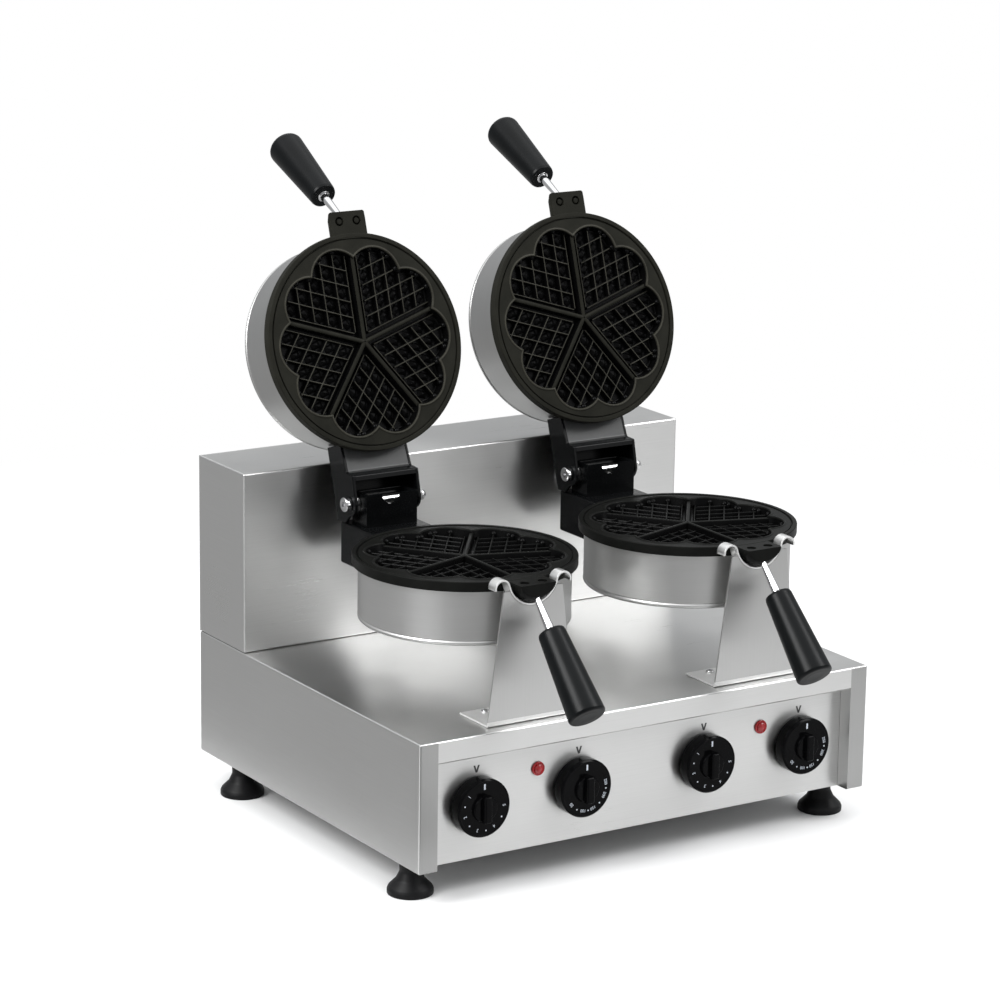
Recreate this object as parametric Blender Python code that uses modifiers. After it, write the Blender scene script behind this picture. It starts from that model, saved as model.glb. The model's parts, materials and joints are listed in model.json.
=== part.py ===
"""Double rotary waffle baker: two hinged heart-waffle irons on a steel cabinet.

Metres, +Z up. The front of the machine faces -Y and +X is to the right seen from the front.
The origin lies on the floor under the middle of the machine's bounding box.
Both lids stand open on their stops; every knob points at its mark.
"""
import math

import bmesh
import bpy
from mathutils import Matrix, Vector

# ---------------------------------------------------------------- driving dimensions
GAP = 0.0003                    # air left between pieces that touch
FRONT_Y = -0.2021               # cabinet's front face, set so that the bounding box is centred
SHEET = 0.0012                  # stainless sheet of cabinet, housing, panel and covers

CABINET_WIDTH = 0.520
CABINET_DEPTH = 0.434
CABINET_HEIGHT = 0.127
FOOT_HEIGHT = 0.034
FOOT_RADIUS = 0.0223
FOOT_X = 0.2416                 # feet, left and right of the middle
FOOT_FRONT, FOOT_REAR = 0.0456, 0.378   # feet, behind the cabinet's front face

POST_WIDTH = 0.020              # front flanges left and right of the control panel
LIP_HEIGHT = 0.022              # front flange above the control panel
PANEL_INSET = 0.016

HOUSING_DEPTH = 0.0944          # tall housing along the back of the deck
HOUSING_HEIGHT = 0.1839

HEAD_X = 0.1305                 # baking heads, left and right of the middle
HEAD_Y = 0.1335                 # plate centre behind the cabinet's front face
AXIS_RISE = 0.1366              # flip axis above the deck
LID_OPEN = math.radians(108)    # lid turned up from closed

PLATE_RADIUS = 0.109
PLATE_RIM = 0.010
BOSS_RADIUS = 0.098
BOSS_DEPTH = 0.018
PLATE_FACE = -0.0002            # plate face below the parting plane
MOULD_DEPTH = 0.012
LOBE_CENTRE, LOBE_RADIUS = 0.0655, 0.0282
RIB_HALF = 0.003                # half the wall between two heart moulds
HEARTS = 5
NOSE_RADIUS = 0.0207
NOSE_REACH = 0.131              # nose tip from the plate centre

CASING_RADIUS = 0.103
CASING_DEPTH = 0.0643
CASING_WALL = 0.001

PIN = Vector((0.0, 0.157, 0.017))       # lid hinge pin from the head's centre
PIN_RADIUS = 0.005
BLOCK_HALF, BLOCK_REAR = 0.036, 0.1775
BLOCK_TOP, BLOCK_BOTTOM = -0.0045, -0.0475
LUG_HALF, LUG_FRONT, LUG_REAR, LUG_TOP = 0.029, 0.1375, 0.1665, 0.0275
CHEEK_INNER, CHEEK_OUTER = 0.0345, 0.038
KNUCKLE_RADIUS = 0.0125
# Front of the lid's hinge arm as (y, z) from the pin, lid shut: its outside, then its inside 3 mm away
CHANNEL = [(-0.0595, 0.001), (-0.0307, -0.0026), (-0.0262, -0.0148), (-0.0212, -0.0144)]
CHANNEL_INSIDE = [(-0.0214, -0.0114), (-0.0239, -0.0116), (-0.0284, 0.0001), (-0.0595, 0.004)]
SHAFT_RADIUS, SHAFT_BORE = 0.009, 0.006
SHAFT_FRONT, SHAFT_REAR = 0.166, 0.272

HANDLE_EXIT = Vector((0.0, -0.128, -0.0157))
HANDLE_DROOP = math.radians(46)
GRIP_START, GRIP_END = 0.0356, 0.1294   # along the handle from its exit
GRIP_SMALL, GRIP_LARGE = 0.0135, 0.0187
ROD_TIP, ROD_RADIUS = 0.003, 0.004  # the rod grows thicker towards its grip

BRACKET_FRONT = 0.012           # front bracket behind the cabinet's front face
BRACKET_SHEET = 0.002
BRACKET_FOOT_HALF, BRACKET_TOP_HALF = 0.049, 0.0325
BRACKET_FLANGE = 0.050
NOTCH_RADIUS = 0.0263           # inside the cradle
NOTCH_RISE = 0.0052             # cradle's centre above the flip axis
CRADLE_SHEET = 0.0018
CRADLE_WIDTH = 0.0125
EAR_RISE, EAR_RADIUS = -0.003, 0.0085  # curled ends, below the flip axis

KNOB_RADIUS = 0.0288
KNOB_HEIGHT = 0.0533            # knob centres above the cabinet's bottom edge
KNOB_OFFSET = 0.0575            # timer left and thermostat right of each head's middle
KNOB_FRONT = 0.001              # knob's front face behind the cabinet's front face
LAMP_OFFSET, LAMP_HEIGHT = 0.011, 0.0773
SPINDLE_RADIUS = 0.003

DECK = FOOT_HEIGHT + CABINET_HEIGHT
SIDES = (("left", -1), ("right", 1))

ROUND = 32                      # segments of large turned pieces
SMALL_ROUND = 16                # segments of small turned pieces

# ---------------------------------------------------------------- scene and materials
for old in list(bpy.data.objects):
    bpy.data.objects.remove(old)

PARTS = bpy.data.collections.new("waffle_baker")
CUTTERS = bpy.data.collections.new("cutters")
bpy.context.scene.collection.children.link(PARTS)
bpy.context.scene.collection.children.link(CUTTERS)

FINISHES = {                    # colour, roughness, metallic
    "stainless": ((0.62, 0.62, 0.61), 0.32, 1.0),
    "cast_black": ((0.030, 0.030, 0.028), 0.48, 0.0),
    "hinge_black": ((0.018, 0.019, 0.020), 0.38, 0.0),
    "bakelite": ((0.012, 0.013, 0.014), 0.35, 0.0),
    "knob_black": ((0.008, 0.008, 0.009), 0.18, 0.0),
    "chrome": ((0.80, 0.80, 0.80), 0.12, 1.0),
    "lamp_red": ((0.75, 0.02, 0.03), 0.15, 0.0),
    "rubber": ((0.015, 0.015, 0.016), 0.65, 0.0),
    "plain_steel": ((0.50, 0.50, 0.50), 0.45, 1.0),
    "ceramic": ((0.80, 0.78, 0.72), 0.60, 0.0),
}


def material(name):
    """The Principled material of one finish, made on first use."""
    found = bpy.data.materials.get(name)
    if found:
        return found
    colour, roughness, metallic = FINISHES[name]
    made = bpy.data.materials.new(name)
    made.use_nodes = True
    shader = made.node_tree.nodes["Principled BSDF"]
    shader.inputs["Base Color"].default_value = (*colour, 1.0)
    shader.inputs["Roughness"].default_value = roughness
    shader.inputs["Metallic"].default_value = metallic
    return made


# ---------------------------------------------------------------- modelling helpers
def temporary(name, mesh, location=(0, 0, 0), rotation=(0, 0, 0)):
    """A working object in the cutters' collection, shown as wire and left out of the build."""
    obj = bpy.data.objects.new(name, mesh)
    obj.location = location
    obj.rotation_euler = rotation
    obj.hide_render = True
    obj.display_type = "WIRE"
    CUTTERS.objects.link(obj)
    return obj


def box(low, high, bevel=0.0):
    """A working box between two corners, with its edges bevelled when asked."""
    low, high = Vector(low), Vector(high)
    mesh = bpy.data.meshes.new("box")
    bm = bmesh.new()
    bmesh.ops.create_cube(bm, size=1.0)
    bmesh.ops.scale(bm, vec=high - low, verts=bm.verts)
    bm.to_mesh(mesh)
    bm.free()
    obj = temporary("box", mesh, (low + high) / 2)
    if bevel:
        rounding = obj.modifiers.new("edges", "BEVEL")
        rounding.width = bevel
        rounding.segments = 2
    return obj


def turned(profile, segments=ROUND, location=(0, 0, 0), rotation=(0, 0, 0), closed=False):
    """A working solid turned about its Z axis from (radius, height) points, top to bottom outside."""
    mesh = bpy.data.meshes.new("turned")
    bm = bmesh.new()
    verts = [bm.verts.new((radius, 0.0, height)) for radius, height in profile]
    pairs = list(zip(verts, verts[1:])) + ([(verts[-1], verts[0])] if closed else [])
    for pair in pairs:
        bm.edges.new(pair)
    bm.to_mesh(mesh)
    bm.free()
    obj = temporary("turned", mesh, location, rotation)
    screw = obj.modifiers.new("turn", "SCREW")
    screw.steps = screw.render_steps = segments
    screw.use_merge_vertices = True
    screw.merge_threshold = 0.000005
    return obj


def cylinder(radius, start, end, segments=SMALL_ROUND):
    """A working cylinder from one point to another."""
    start, end = Vector(start), Vector(end)
    span = end - start
    profile = [(0, span.length), (radius, span.length), (radius, 0), (0, 0)]
    turn = Vector((0, 0, 1)).rotation_difference(span).to_euler()
    return turned(profile, segments, start, turn)


def extruded(outlines, low, high, upright=False):
    """Flat outlines given a thickness from low to high.

    Outlines lie in XY and rise along Z. Upright ones hold (x, z) points and run along Y, and
    sideways plates are upright ones turned afterwards.
    """
    curve = bpy.data.curves.new("outline", "CURVE")
    curve.dimensions = "2D"
    curve.fill_mode = "BOTH"
    curve.extrude = (high - low) / 2
    for outline in outlines:
        spline = curve.splines.new("POLY")
        spline.points.add(len(outline) - 1)
        for point, (x, y) in zip(spline.points, outline):
            point.co = (x, y, 0, 1)
        spline.use_cyclic_u = True
    drawn = bpy.data.objects.new("outline", curve)
    CUTTERS.objects.link(drawn)
    if upright:
        drawn.location.y = (low + high) / 2
        drawn.rotation_euler.x = math.pi / 2
    else:
        drawn.location.z = (low + high) / 2
    mesh = baked_mesh(drawn)
    bpy.data.objects.remove(drawn)
    return temporary("extruded", mesh)


def baked_mesh(obj):
    """The evaluated mesh of an object, in world space, with doubled points merged."""
    bpy.context.view_layer.update()
    graph = bpy.context.evaluated_depsgraph_get()
    mesh = bpy.data.meshes.new_from_object(obj.evaluated_get(graph))
    mesh.transform(obj.matrix_world)
    bm = bmesh.new()
    bm.from_mesh(mesh)
    bmesh.ops.remove_doubles(bm, verts=bm.verts, dist=0.000002)
    bm.to_mesh(mesh)
    bm.free()
    return mesh


def combine(target, others, operation):
    """Boolean each of the others into the target."""
    for other in others:
        step = target.modifiers.new(operation.lower(), "BOOLEAN")
        step.operation = operation
        step.object = other
    return target


def cut(target, *others):
    return combine(target, others, "DIFFERENCE")


def unite(target, *others):
    return combine(target, others, "UNION")


def finish(obj, smooth_angle=35):
    """Bake a working solid and everything that shapes it, and return the finished mesh."""
    helpers = [step.object for step in obj.modifiers if step.type == "BOOLEAN"]
    mesh = baked_mesh(obj)
    mesh.materials.clear()
    mesh.shade_smooth()
    mesh.set_sharp_from_angle(angle=math.radians(smooth_angle))
    for used in [obj] + [h for helper in helpers for h in with_helpers(helper)]:
        bpy.data.objects.remove(used)
    return mesh


def with_helpers(obj):
    """An object and all the objects that its Booleans use."""
    found = [obj]
    for step in obj.modifiers:
        if step.type == "BOOLEAN":
            found += with_helpers(step.object)
    return found


def part(name, mesh, finish_name, parent=None, location=(0, 0, 0), rotation=(0, 0, 0)):
    """A named sub-part of the machine."""
    obj = bpy.data.objects.new(name, mesh)
    obj.location = location
    obj.rotation_euler = rotation
    obj.parent = parent
    if not mesh.materials:
        mesh.materials.append(material(finish_name))
    PARTS.objects.link(obj)
    return obj


def frame(name, location=(0, 0, 0), rotation=(0, 0, 0), parent=None):
    """An empty that carries the pieces of one body or one axis."""
    empty = bpy.data.objects.new(name, None)
    empty.location = location
    empty.rotation_euler = rotation
    empty.parent = parent
    PARTS.objects.link(empty)
    return empty


def arc(centre, radius, start, end, steps):
    """Points on an arc, from one angle to another, in degrees."""
    angles = [math.radians(start + (end - start) * i / steps) for i in range(steps + 1)]
    return [(centre[0] + radius * math.cos(a), centre[1] + radius * math.sin(a)) for a in angles]


# ---------------------------------------------------------------- cabinet and housing
def cabinet_mesh():
    """Folded sheet cabinet, open below and in front, with flanges round the control panel."""
    half, top, back = CABINET_WIDTH / 2, CABINET_HEIGHT, CABINET_DEPTH
    inner, roof = half - SHEET, top - SHEET
    opening, lip = half - POST_WIDTH, top - LIP_HEIGHT
    below, past = -0.005, PANEL_INSET + 0.001
    shell = box((-half, 0, 0), (half, back, top), bevel=0.0012)
    cut(shell,
        box((-inner, PANEL_INSET, below), (inner, back - SHEET, roof)),
        box((-opening, -0.005, below), (opening, past, lip)),
        box((-inner, SHEET, lip + SHEET), (inner, past, roof)),
        box((-inner, SHEET, below), (-opening - SHEET, past, roof)),
        box((opening + SHEET, SHEET, below), (inner, past, roof)),
        cylinder(0.0085, (0.20, back - 0.01, 0.035), (0.20, back + 0.01, 0.035)))
    return finish(shell)


def panel_mesh():
    """Control panel behind the flanges, drilled for four bushings and two lamps."""
    half = CABINET_WIDTH / 2 - SHEET - GAP
    front = PANEL_INSET + GAP
    panel = box((-half, front, 0), (half, front + SHEET, CABINET_HEIGHT - SHEET - GAP))
    for _, side in SIDES:
        for offset in (-KNOB_OFFSET, KNOB_OFFSET):
            x = side * HEAD_X + offset
            cut(panel, cylinder(0.0056, (x, 0, KNOB_HEIGHT), (x, 0.03, KNOB_HEIGHT)))
        x = side * HEAD_X + LAMP_OFFSET
        cut(panel, cylinder(0.0056, (x, 0, LAMP_HEIGHT), (x, 0.03, LAMP_HEIGHT)))
    return finish(panel)


def bottom_mesh():
    """Base plate with ventilation slots and holes for the feet's studs."""
    half = CABINET_WIDTH / 2 - SHEET - GAP
    front = PANEL_INSET + SHEET + 2 * GAP
    plate = box((-half, front, 0), (half, CABINET_DEPTH - SHEET - GAP, SHEET))
    for _, side in SIDES:
        for y in (FOOT_FRONT, FOOT_REAR):
            x = side * FOOT_X
            cut(plate, cylinder(0.0036, (x, y, -0.01), (x, y, 0.01), 12))
        for row in range(4):
            y = 0.16 + 0.03 * row
            cut(plate, box((side * 0.12 - 0.03, y, -0.01), (side * 0.12 + 0.03, y + 0.006, 0.01)))
    return finish(plate)


def housing_mesh():
    """Rear housing, open below and behind, with a hole for each flip shaft's bearing."""
    half, depth = CABINET_WIDTH / 2, HOUSING_DEPTH - SHEET - GAP
    shell = box((-half, 0, 0), (half, depth, HOUSING_HEIGHT - GAP), bevel=0.0012)
    cut(shell, box((SHEET - half, SHEET, -0.005), (half - SHEET, depth + 0.005,
                                                   HOUSING_HEIGHT - GAP - SHEET)))
    for _, side in SIDES:
        x = side * HEAD_X
        cut(shell, cylinder(0.016, (x, -0.005, AXIS_RISE - GAP), (x, 0.005, AXIS_RISE - GAP), 24))
    return finish(shell)


def rear_cover_mesh():
    """Flat cover of the housing's back, with two banks of ventilation slots."""
    half = CABINET_WIDTH / 2
    cover = box((-half, 0, 0), (half, SHEET, HOUSING_HEIGHT - GAP), bevel=0.0005)
    for _, side in SIDES:
        for row in range(5):
            z = 0.055 + 0.018 * row
            cut(cover, box((side * 0.13 - 0.04, -0.01, z), (side * 0.13 + 0.04, 0.01, z + 0.006)))
    return finish(cover)


def pivot_support_mesh():
    """Folded plate inside the housing that carries the far ends of the flip shafts."""
    upright = box((-0.245, 0, 0), (0.245, 0.002, 0.168))
    unite(upright, box((-0.245, -0.018, 0), (0.245, 0.001, 0.002)))
    for _, side in SIDES:
        x = side * HEAD_X
        cut(upright, cylinder(SHAFT_RADIUS + 0.0006, (x, -0.01, AXIS_RISE - GAP),
                              (x, 0.01, AXIS_RISE - GAP), 24))
    return finish(upright)


def foot_mesh():
    """Bell-shaped rubber foot with the stud that passes through the base plate."""
    top = FOOT_HEIGHT - GAP
    profile = [(0, top + 0.013), (0.003, top + 0.013), (0.003, top), (0.0108, top),
               (0.0105, top - 0.010), (0.0125, top - 0.0165), (0.0185, top - 0.0235),
               (FOOT_RADIUS - 0.001, 0.006), (FOOT_RADIUS, 0.0042), (FOOT_RADIUS, 0.0012),
               (FOOT_RADIUS - 0.0012, 0), (0, 0)]
    return finish(turned(profile, SMALL_ROUND))


def terminal_block_mesh():
    """Ceramic terminal block with four wire ways."""
    block = box((-0.03, -0.011, 0), (0.03, 0.011, 0.018))
    for i in range(4):
        x = -0.0225 + 0.015 * i
        cut(block, box((x - 0.004, -0.02, 0.010), (x + 0.004, 0.02, 0.03)))
    return finish(block)


def cable_gland_mesh():
    """Gland for the supply cable: a nut behind the wall, a dome in front and an open bore."""
    profile = [(0.0045, 0.022), (0.0075, 0.022), (0.0105, 0.018), (0.0105, 0.0003),
               (0.008, 0.0003), (0.008, -0.0018), (0.011, -0.0018), (0.011, -0.006), (0.0045, -0.006)]
    return finish(turned(profile, SMALL_ROUND, closed=True))


# ---------------------------------------------------------------- controls
def knob_mesh():
    """Round control knob with a skirt, a raised grip bar and its spindle. Its axis is Z, front up."""
    depth = PANEL_INSET - KNOB_FRONT - 0.0008
    profile = [(0, 0), (KNOB_RADIUS - 0.0015, 0), (KNOB_RADIUS, -0.0015), (KNOB_RADIUS, 0.001 - depth),
               (KNOB_RADIUS - 0.001, -depth), (SPINDLE_RADIUS, -depth),
               (SPINDLE_RADIUS, -depth - 0.006), (0, -depth - 0.006)]
    knob = turned(profile, 32)
    hub = turned([(0, 0.003), (0.012, 0.003), (0.0135, 0.0015), (0.0135, -0.001), (0, -0.001)], 20)
    bar = box((-0.0045, -0.0125, 0.001), (0.0045, 0.0125, 0.008), bevel=0.0012)
    return finish(unite(knob, hub, bar))


def regulator_mesh(width, depth):
    """Timer or thermostat body behind the panel, with the bushing that the spindle turns in."""
    back = PANEL_INSET + SHEET + 2 * GAP
    body = box((-width / 2, back, -width / 2), (width / 2, back + depth, width / 2), bevel=0.002)
    bushing = cylinder(0.005, (0, PANEL_INSET - 0.0002, 0), (0, back + 0.002, 0))
    bore = cylinder(SPINDLE_RADIUS + 0.0004, (0, 0, 0), (0, back + 0.012, 0))
    return finish(cut(unite(body, bushing), bore))


def lamp_mesh():
    """Pilot lamp: a domed lens with its flange, and the barrel that passes the panel. Axis Z, lens up."""
    lens = [(0.0063 * math.cos(a), 0.0012 + 0.005 * math.sin(a))
            for a in (math.radians(90 - 15 * i) for i in range(7))]
    profile = lens + [(0.0073, 0.0010), (0.0073, 0), (0.0052, 0), (0.0052, -0.022), (0, -0.022)]
    return finish(turned(profile, SMALL_ROUND))


# ---------------------------------------------------------------- baking heads
def heart_outline(direction):
    """One heart mould: its tip near the plate's centre and two round lobes outwards."""
    half_turn = math.pi / HEARTS
    tip = RIB_HALF / math.sin(half_turn)
    side = []
    lobe = Vector((LOBE_CENTRE, 0))
    lobe.rotate(Matrix.Rotation(half_turn / 2, 2))
    along = Vector((math.cos(half_turn), math.sin(half_turn)))
    base = Vector((tip, 0))
    to_lobe = lobe - base
    reach = to_lobe.dot(along)
    off = (to_lobe - along * reach).length
    meet = base + along * (reach + math.sqrt(LOBE_RADIUS ** 2 - off ** 2))
    cleft = Vector((lobe.x + math.sqrt(LOBE_RADIUS ** 2 - lobe.y ** 2), 0))
    start = math.degrees(math.atan2(meet.y - lobe.y, meet.x - lobe.x))
    end = math.degrees(math.atan2(cleft.y - lobe.y, cleft.x - lobe.x))
    side = arc(lobe, LOBE_RADIUS, start, end, 7)
    mirrored = [(x, -y) for x, y in reversed(side[:-1])]
    points = [Vector((tip, 0))] + [Vector(p) for p in side + mirrored]
    for point in points:
        point.rotate(Matrix.Rotation(direction, 2))
    return [tuple(point) for point in points]


def plate_mesh():
    """Cast baking plate, face up: rim, boss, five heart moulds, and the round nose that is its front
    bearing, with two sockets and the handle's bore. The nose points to -Y."""
    face, rim, boss = PLATE_FACE, PLATE_FACE - PLATE_RIM, PLATE_FACE - BOSS_DEPTH
    edge = 0.0012
    profile = [(0, face), (PLATE_RADIUS - edge, face), (PLATE_RADIUS, face - edge),
               (PLATE_RADIUS, rim + edge), (PLATE_RADIUS - edge, rim), (BOSS_RADIUS, rim),
               (BOSS_RADIUS, boss), (0, boss)]
    plate = turned(profile, 48)
    nose = arc((0, 0), NOSE_RADIUS, 182, 358, 14)
    front = extruded([nose], -NOSE_REACH, -0.1045, upright=True)
    hearts = [heart_outline(math.pi / 2 + 2 * math.pi * i / HEARTS) for i in range(HEARTS)]
    moulds = extruded(hearts, face - MOULD_DEPTH, 0.005)
    unite(plate, front)
    cut(plate, moulds)
    for x in (-0.012, 0.012):
        cut(plate, cylinder(0.005, (x, -0.122, face - 0.006), (x, -0.122, 0.01), 12))
    down = handle_direction()
    cut(plate, cylinder(ROD_TIP + GAP, HANDLE_EXIT - 0.010 * down, HANDLE_EXIT + 0.03 * down, 12))
    return finish(plate)


def casing_mesh():
    """Spun steel casing that covers the heating side of a plate."""
    r, wall = CASING_RADIUS, CASING_WALL
    top, bottom = PLATE_FACE - PLATE_RIM - GAP, -CASING_DEPTH
    outer = [(r, top), (r, bottom + 0.0035)] + arc((r - 0.0035, bottom + 0.0035), 0.0035, -30, -90, 2)
    inner = [(0, bottom + wall), (r - 0.0045, bottom + wall), (r - wall, bottom + 0.004), (r - wall, top)]
    casing = turned(outer + [(0, bottom)] + inner, ROUND, closed=False)
    close_ring(casing.data)
    return finish(casing)


def close_ring(mesh):
    """Join the last point of a turning profile to its first."""
    bm = bmesh.new()
    bm.from_mesh(mesh)
    bm.verts.ensure_lookup_table()
    axis_low = [v for v in bm.verts if abs(v.co.x) < 1e-9]
    for edge in [e for e in bm.edges if set(e.verts) == set(axis_low)]:
        bm.edges.remove(edge)
    bm.edges.new((bm.verts[len(bm.verts) - 1], bm.verts[0]))
    bm.to_mesh(mesh)
    bm.free()


def element_mesh():
    """Tubular heating element: an open ring under the boss with both cold ends turned down."""
    ring, tube = 0.066, 0.0035
    height = PLATE_FACE - BOSS_DEPTH - tube - GAP
    legs = height - 0.028
    turns = [math.radians(105 + 330 * i / 26) for i in range(27)]
    route = [(ring * math.cos(a), ring * math.sin(a), height) for a in turns]
    route = [(route[0][0], route[0][1], legs)] + route + [(route[-1][0], route[-1][1], legs)]
    curve = bpy.data.curves.new("element", "CURVE")
    curve.dimensions = "3D"
    curve.bevel_depth = tube
    curve.bevel_resolution = 1
    curve.use_fill_caps = True
    spline = curve.splines.new("POLY")
    spline.points.add(len(route) - 1)
    for point, place in zip(spline.points, route):
        point.co = (*place, 1)
    drawn = bpy.data.objects.new("element", curve)
    CUTTERS.objects.link(drawn)
    mesh = baked_mesh(drawn)
    bpy.data.objects.remove(drawn)
    mesh.materials.clear()
    mesh.shade_smooth()
    return mesh


def handle_direction():
    """The handle leaves the nose forwards and away from the parting plane."""
    return Vector((0, -math.cos(HANDLE_DROOP), -math.sin(HANDLE_DROOP)))


def handle_meshes():
    """Chromed rod with its ferrule, and the tapered grip, both along -Z from the handle's exit."""
    far = GRIP_START + 0.055
    rod = [(0, 0.0095), (ROD_TIP, 0.0095), (ROD_TIP, -0.004), (ROD_RADIUS, 0.001 - GRIP_START),
           (0.0062, -GRIP_START), (0.0062, -GRIP_START - 0.008), (ROD_RADIUS, -GRIP_START - 0.008),
           (ROD_RADIUS, -far), (0, -far)]
    bore = ROD_RADIUS + GAP
    grip = [(0.0062 + GAP, -GRIP_START), (GRIP_SMALL - 0.003, -GRIP_START),
            (GRIP_SMALL - 0.0008, -GRIP_START - 0.001), (GRIP_SMALL, -GRIP_START - 0.004),
            (GRIP_LARGE, 0.004 - GRIP_END), (GRIP_LARGE - 0.0012, 0.001 - GRIP_END),
            (GRIP_LARGE - 0.004, -GRIP_END), (0, -GRIP_END)]
    hollow = [(0, -far - GAP), (bore, -far - GAP), (bore, -GRIP_START - 0.008 - GAP),
              (0.0062 + GAP, -GRIP_START - 0.008 - GAP)]
    grip_solid = turned(grip + hollow, 24)
    drop_axis_edge(grip_solid.data)
    return finish(turned(rod, 16)), finish(grip_solid)


def drop_axis_edge(mesh):
    """Open a turning profile along its axis and close it at its bore's mouth."""
    bm = bmesh.new()
    bm.from_mesh(mesh)
    bm.verts.ensure_lookup_table()
    for edge in [e for e in bm.edges if all(abs(v.co.x) < 1e-9 for v in e.verts)]:
        bm.edges.remove(edge)
    bm.edges.new((bm.verts[len(bm.verts) - 1], bm.verts[0]))
    bm.to_mesh(mesh)
    bm.free()


def hinge_bracket_mesh():
    """Black casting behind the lower plate: block, hinge lug with a round notch that bares
    the pin, and shaft boss."""
    reach = CASING_RADIUS + 0.0006
    block = box((-BLOCK_HALF, 0.090, BLOCK_BOTTOM), (BLOCK_HALF, BLOCK_REAR, BLOCK_TOP), bevel=0.002)
    lug = box((-LUG_HALF, LUG_FRONT, BLOCK_TOP - 0.01), (LUG_HALF, LUG_REAR, LUG_TOP), bevel=0.0015)
    boss = cylinder(0.018, (0, LUG_REAR - 0.01, 0), (0, BLOCK_REAR, 0), 24)
    unite(block, lug, boss)
    clearance = [(0, 0), (reach, 0), (reach, -0.08), (0, -0.08)]
    cut(block,
        turned(clearance, ROUND),
        box((-0.06, 0.08, PLATE_FACE - PLATE_RIM - GAP), (0.06, PLATE_RADIUS + 0.002, 0.001)),
        cylinder(0.0115, (0, LUG_FRONT - 0.005, LUG_TOP + 0.0015),
                 (0, PIN.y + PIN_RADIUS, LUG_TOP + 0.0015), 24),
        cylinder(PIN_RADIUS + GAP, PIN - Vector((0.05, 0, 0)), PIN + Vector((0.05, 0, 0))),
        cylinder(SHAFT_RADIUS + GAP, (0, SHAFT_FRONT - GAP, 0), (0, BLOCK_REAR + 0.01, 0), 24))
    return finish(block)


def cheek_outline():
    """Side of the lid's hinge arm as (y, z) from the pin, lid shut.

    The last straight edge is the stop: it lies flat on the block when the lid is open.
    """
    rest = BLOCK_TOP + GAP - PIN.z
    stop = [Vector((0.0215, rest)), Vector((0.008, rest))]
    for point in stop:
        point.rotate(Matrix.Rotation(LID_OPEN, 2))
    knuckle = arc((0, 0), KNUCKLE_RADIUS, 15, -85, 9)
    return [tuple(stop[0]), tuple(stop[1])] + knuckle + [CHANNEL[2], CHANNEL[1], CHANNEL[0], (-0.0595, 0.027)]


def hinge_arm_mesh():
    """Black channel between lid and pin, lid shut: two cheeks, a stepped front and a back web."""
    cheeks = []
    for side in (-1, 1):
        inner, outer = sorted((side * CHEEK_INNER, side * CHEEK_OUTER))
        cheek = extruded([cheek_outline()], inner, outer)
        cheek.matrix_world = Matrix.Translation(PIN) @ Matrix(
            ((0, 0, 1, 0), (1, 0, 0, 0), (0, 1, 0, 0), (0, 0, 0, 1)))
        cheeks.append(cheek)
    inside = CHEEK_INNER + 0.001
    channel = extruded([CHANNEL + CHANNEL_INSIDE], -inside, inside)
    channel.matrix_world = cheeks[0].matrix_world
    plates = [channel, box((-inside, 0.0975, 0.0405), (inside, 0.148, 0.0435))]
    arm = unite(cheeks[0], cheeks[1], *plates)
    clearance = [(0, 0.08), (CASING_RADIUS + 0.0006, 0.08), (CASING_RADIUS + 0.0006, 0), (0, 0)]
    cut(arm, turned(clearance, ROUND),
        cylinder(PIN_RADIUS + GAP, PIN - Vector((0.05, 0, 0)), PIN + Vector((0.05, 0, 0))))
    return finish(arm)


def pin_meshes():
    """Hinge bolt with its round flanged hexagon head, and the domed nut, both along +X from the pin."""
    head = -CHEEK_OUTER - GAP
    end = CHEEK_OUTER + 0.006
    bolt = cylinder(PIN_RADIUS, (head - 0.001, 0, 0), (end, 0, 0))
    flange = turned([(0, 0), (0.0078, 0), (0.0078, -0.0015), (0, -0.0015)], SMALL_ROUND,
                    (head, 0, 0), (0, math.pi / 2, 0))
    hexagon = cylinder(0.0066, (head - 0.0065, 0, 0), (head - 0.001, 0, 0), 6)
    bolt = finish(unite(bolt, flange, hexagon))
    start, bore = CHEEK_OUTER + GAP, PIN_RADIUS + GAP
    height = 0.012
    dome = [(0.0072 * math.cos(a), 0.004 + (height - 0.004) * math.sin(a))
            for a in (math.radians(90 - 18 * i) for i in range(6))]
    shape = dome + [(0.0072, 0), (bore, 0), (bore, 0.0068), (0, 0.0068)]
    nut = turned(shape, 18, (start, 0, 0), (0, math.pi / 2, 0))
    return bolt, finish(nut)


def shaft_mesh():
    """Hollow flip shaft; the wiring of the head runs through it."""
    length = SHAFT_REAR - SHAFT_FRONT
    profile = [(SHAFT_BORE, length), (SHAFT_RADIUS, length), (SHAFT_RADIUS, 0), (SHAFT_BORE, 0)]
    return finish(turned(profile, 24, (0, SHAFT_FRONT, 0), (-math.pi / 2, 0, 0), closed=True))


def bearing_mesh():
    """Flanged bush in the housing's front wall. Its axis is Z, flange up."""
    bore = SHAFT_RADIUS + GAP
    profile = [(bore, 0.0033), (0.022, 0.0033), (0.022, GAP), (0.0157, GAP), (0.0157, -0.012), (bore, -0.012)]
    return finish(turned(profile, 24, closed=True))


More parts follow.
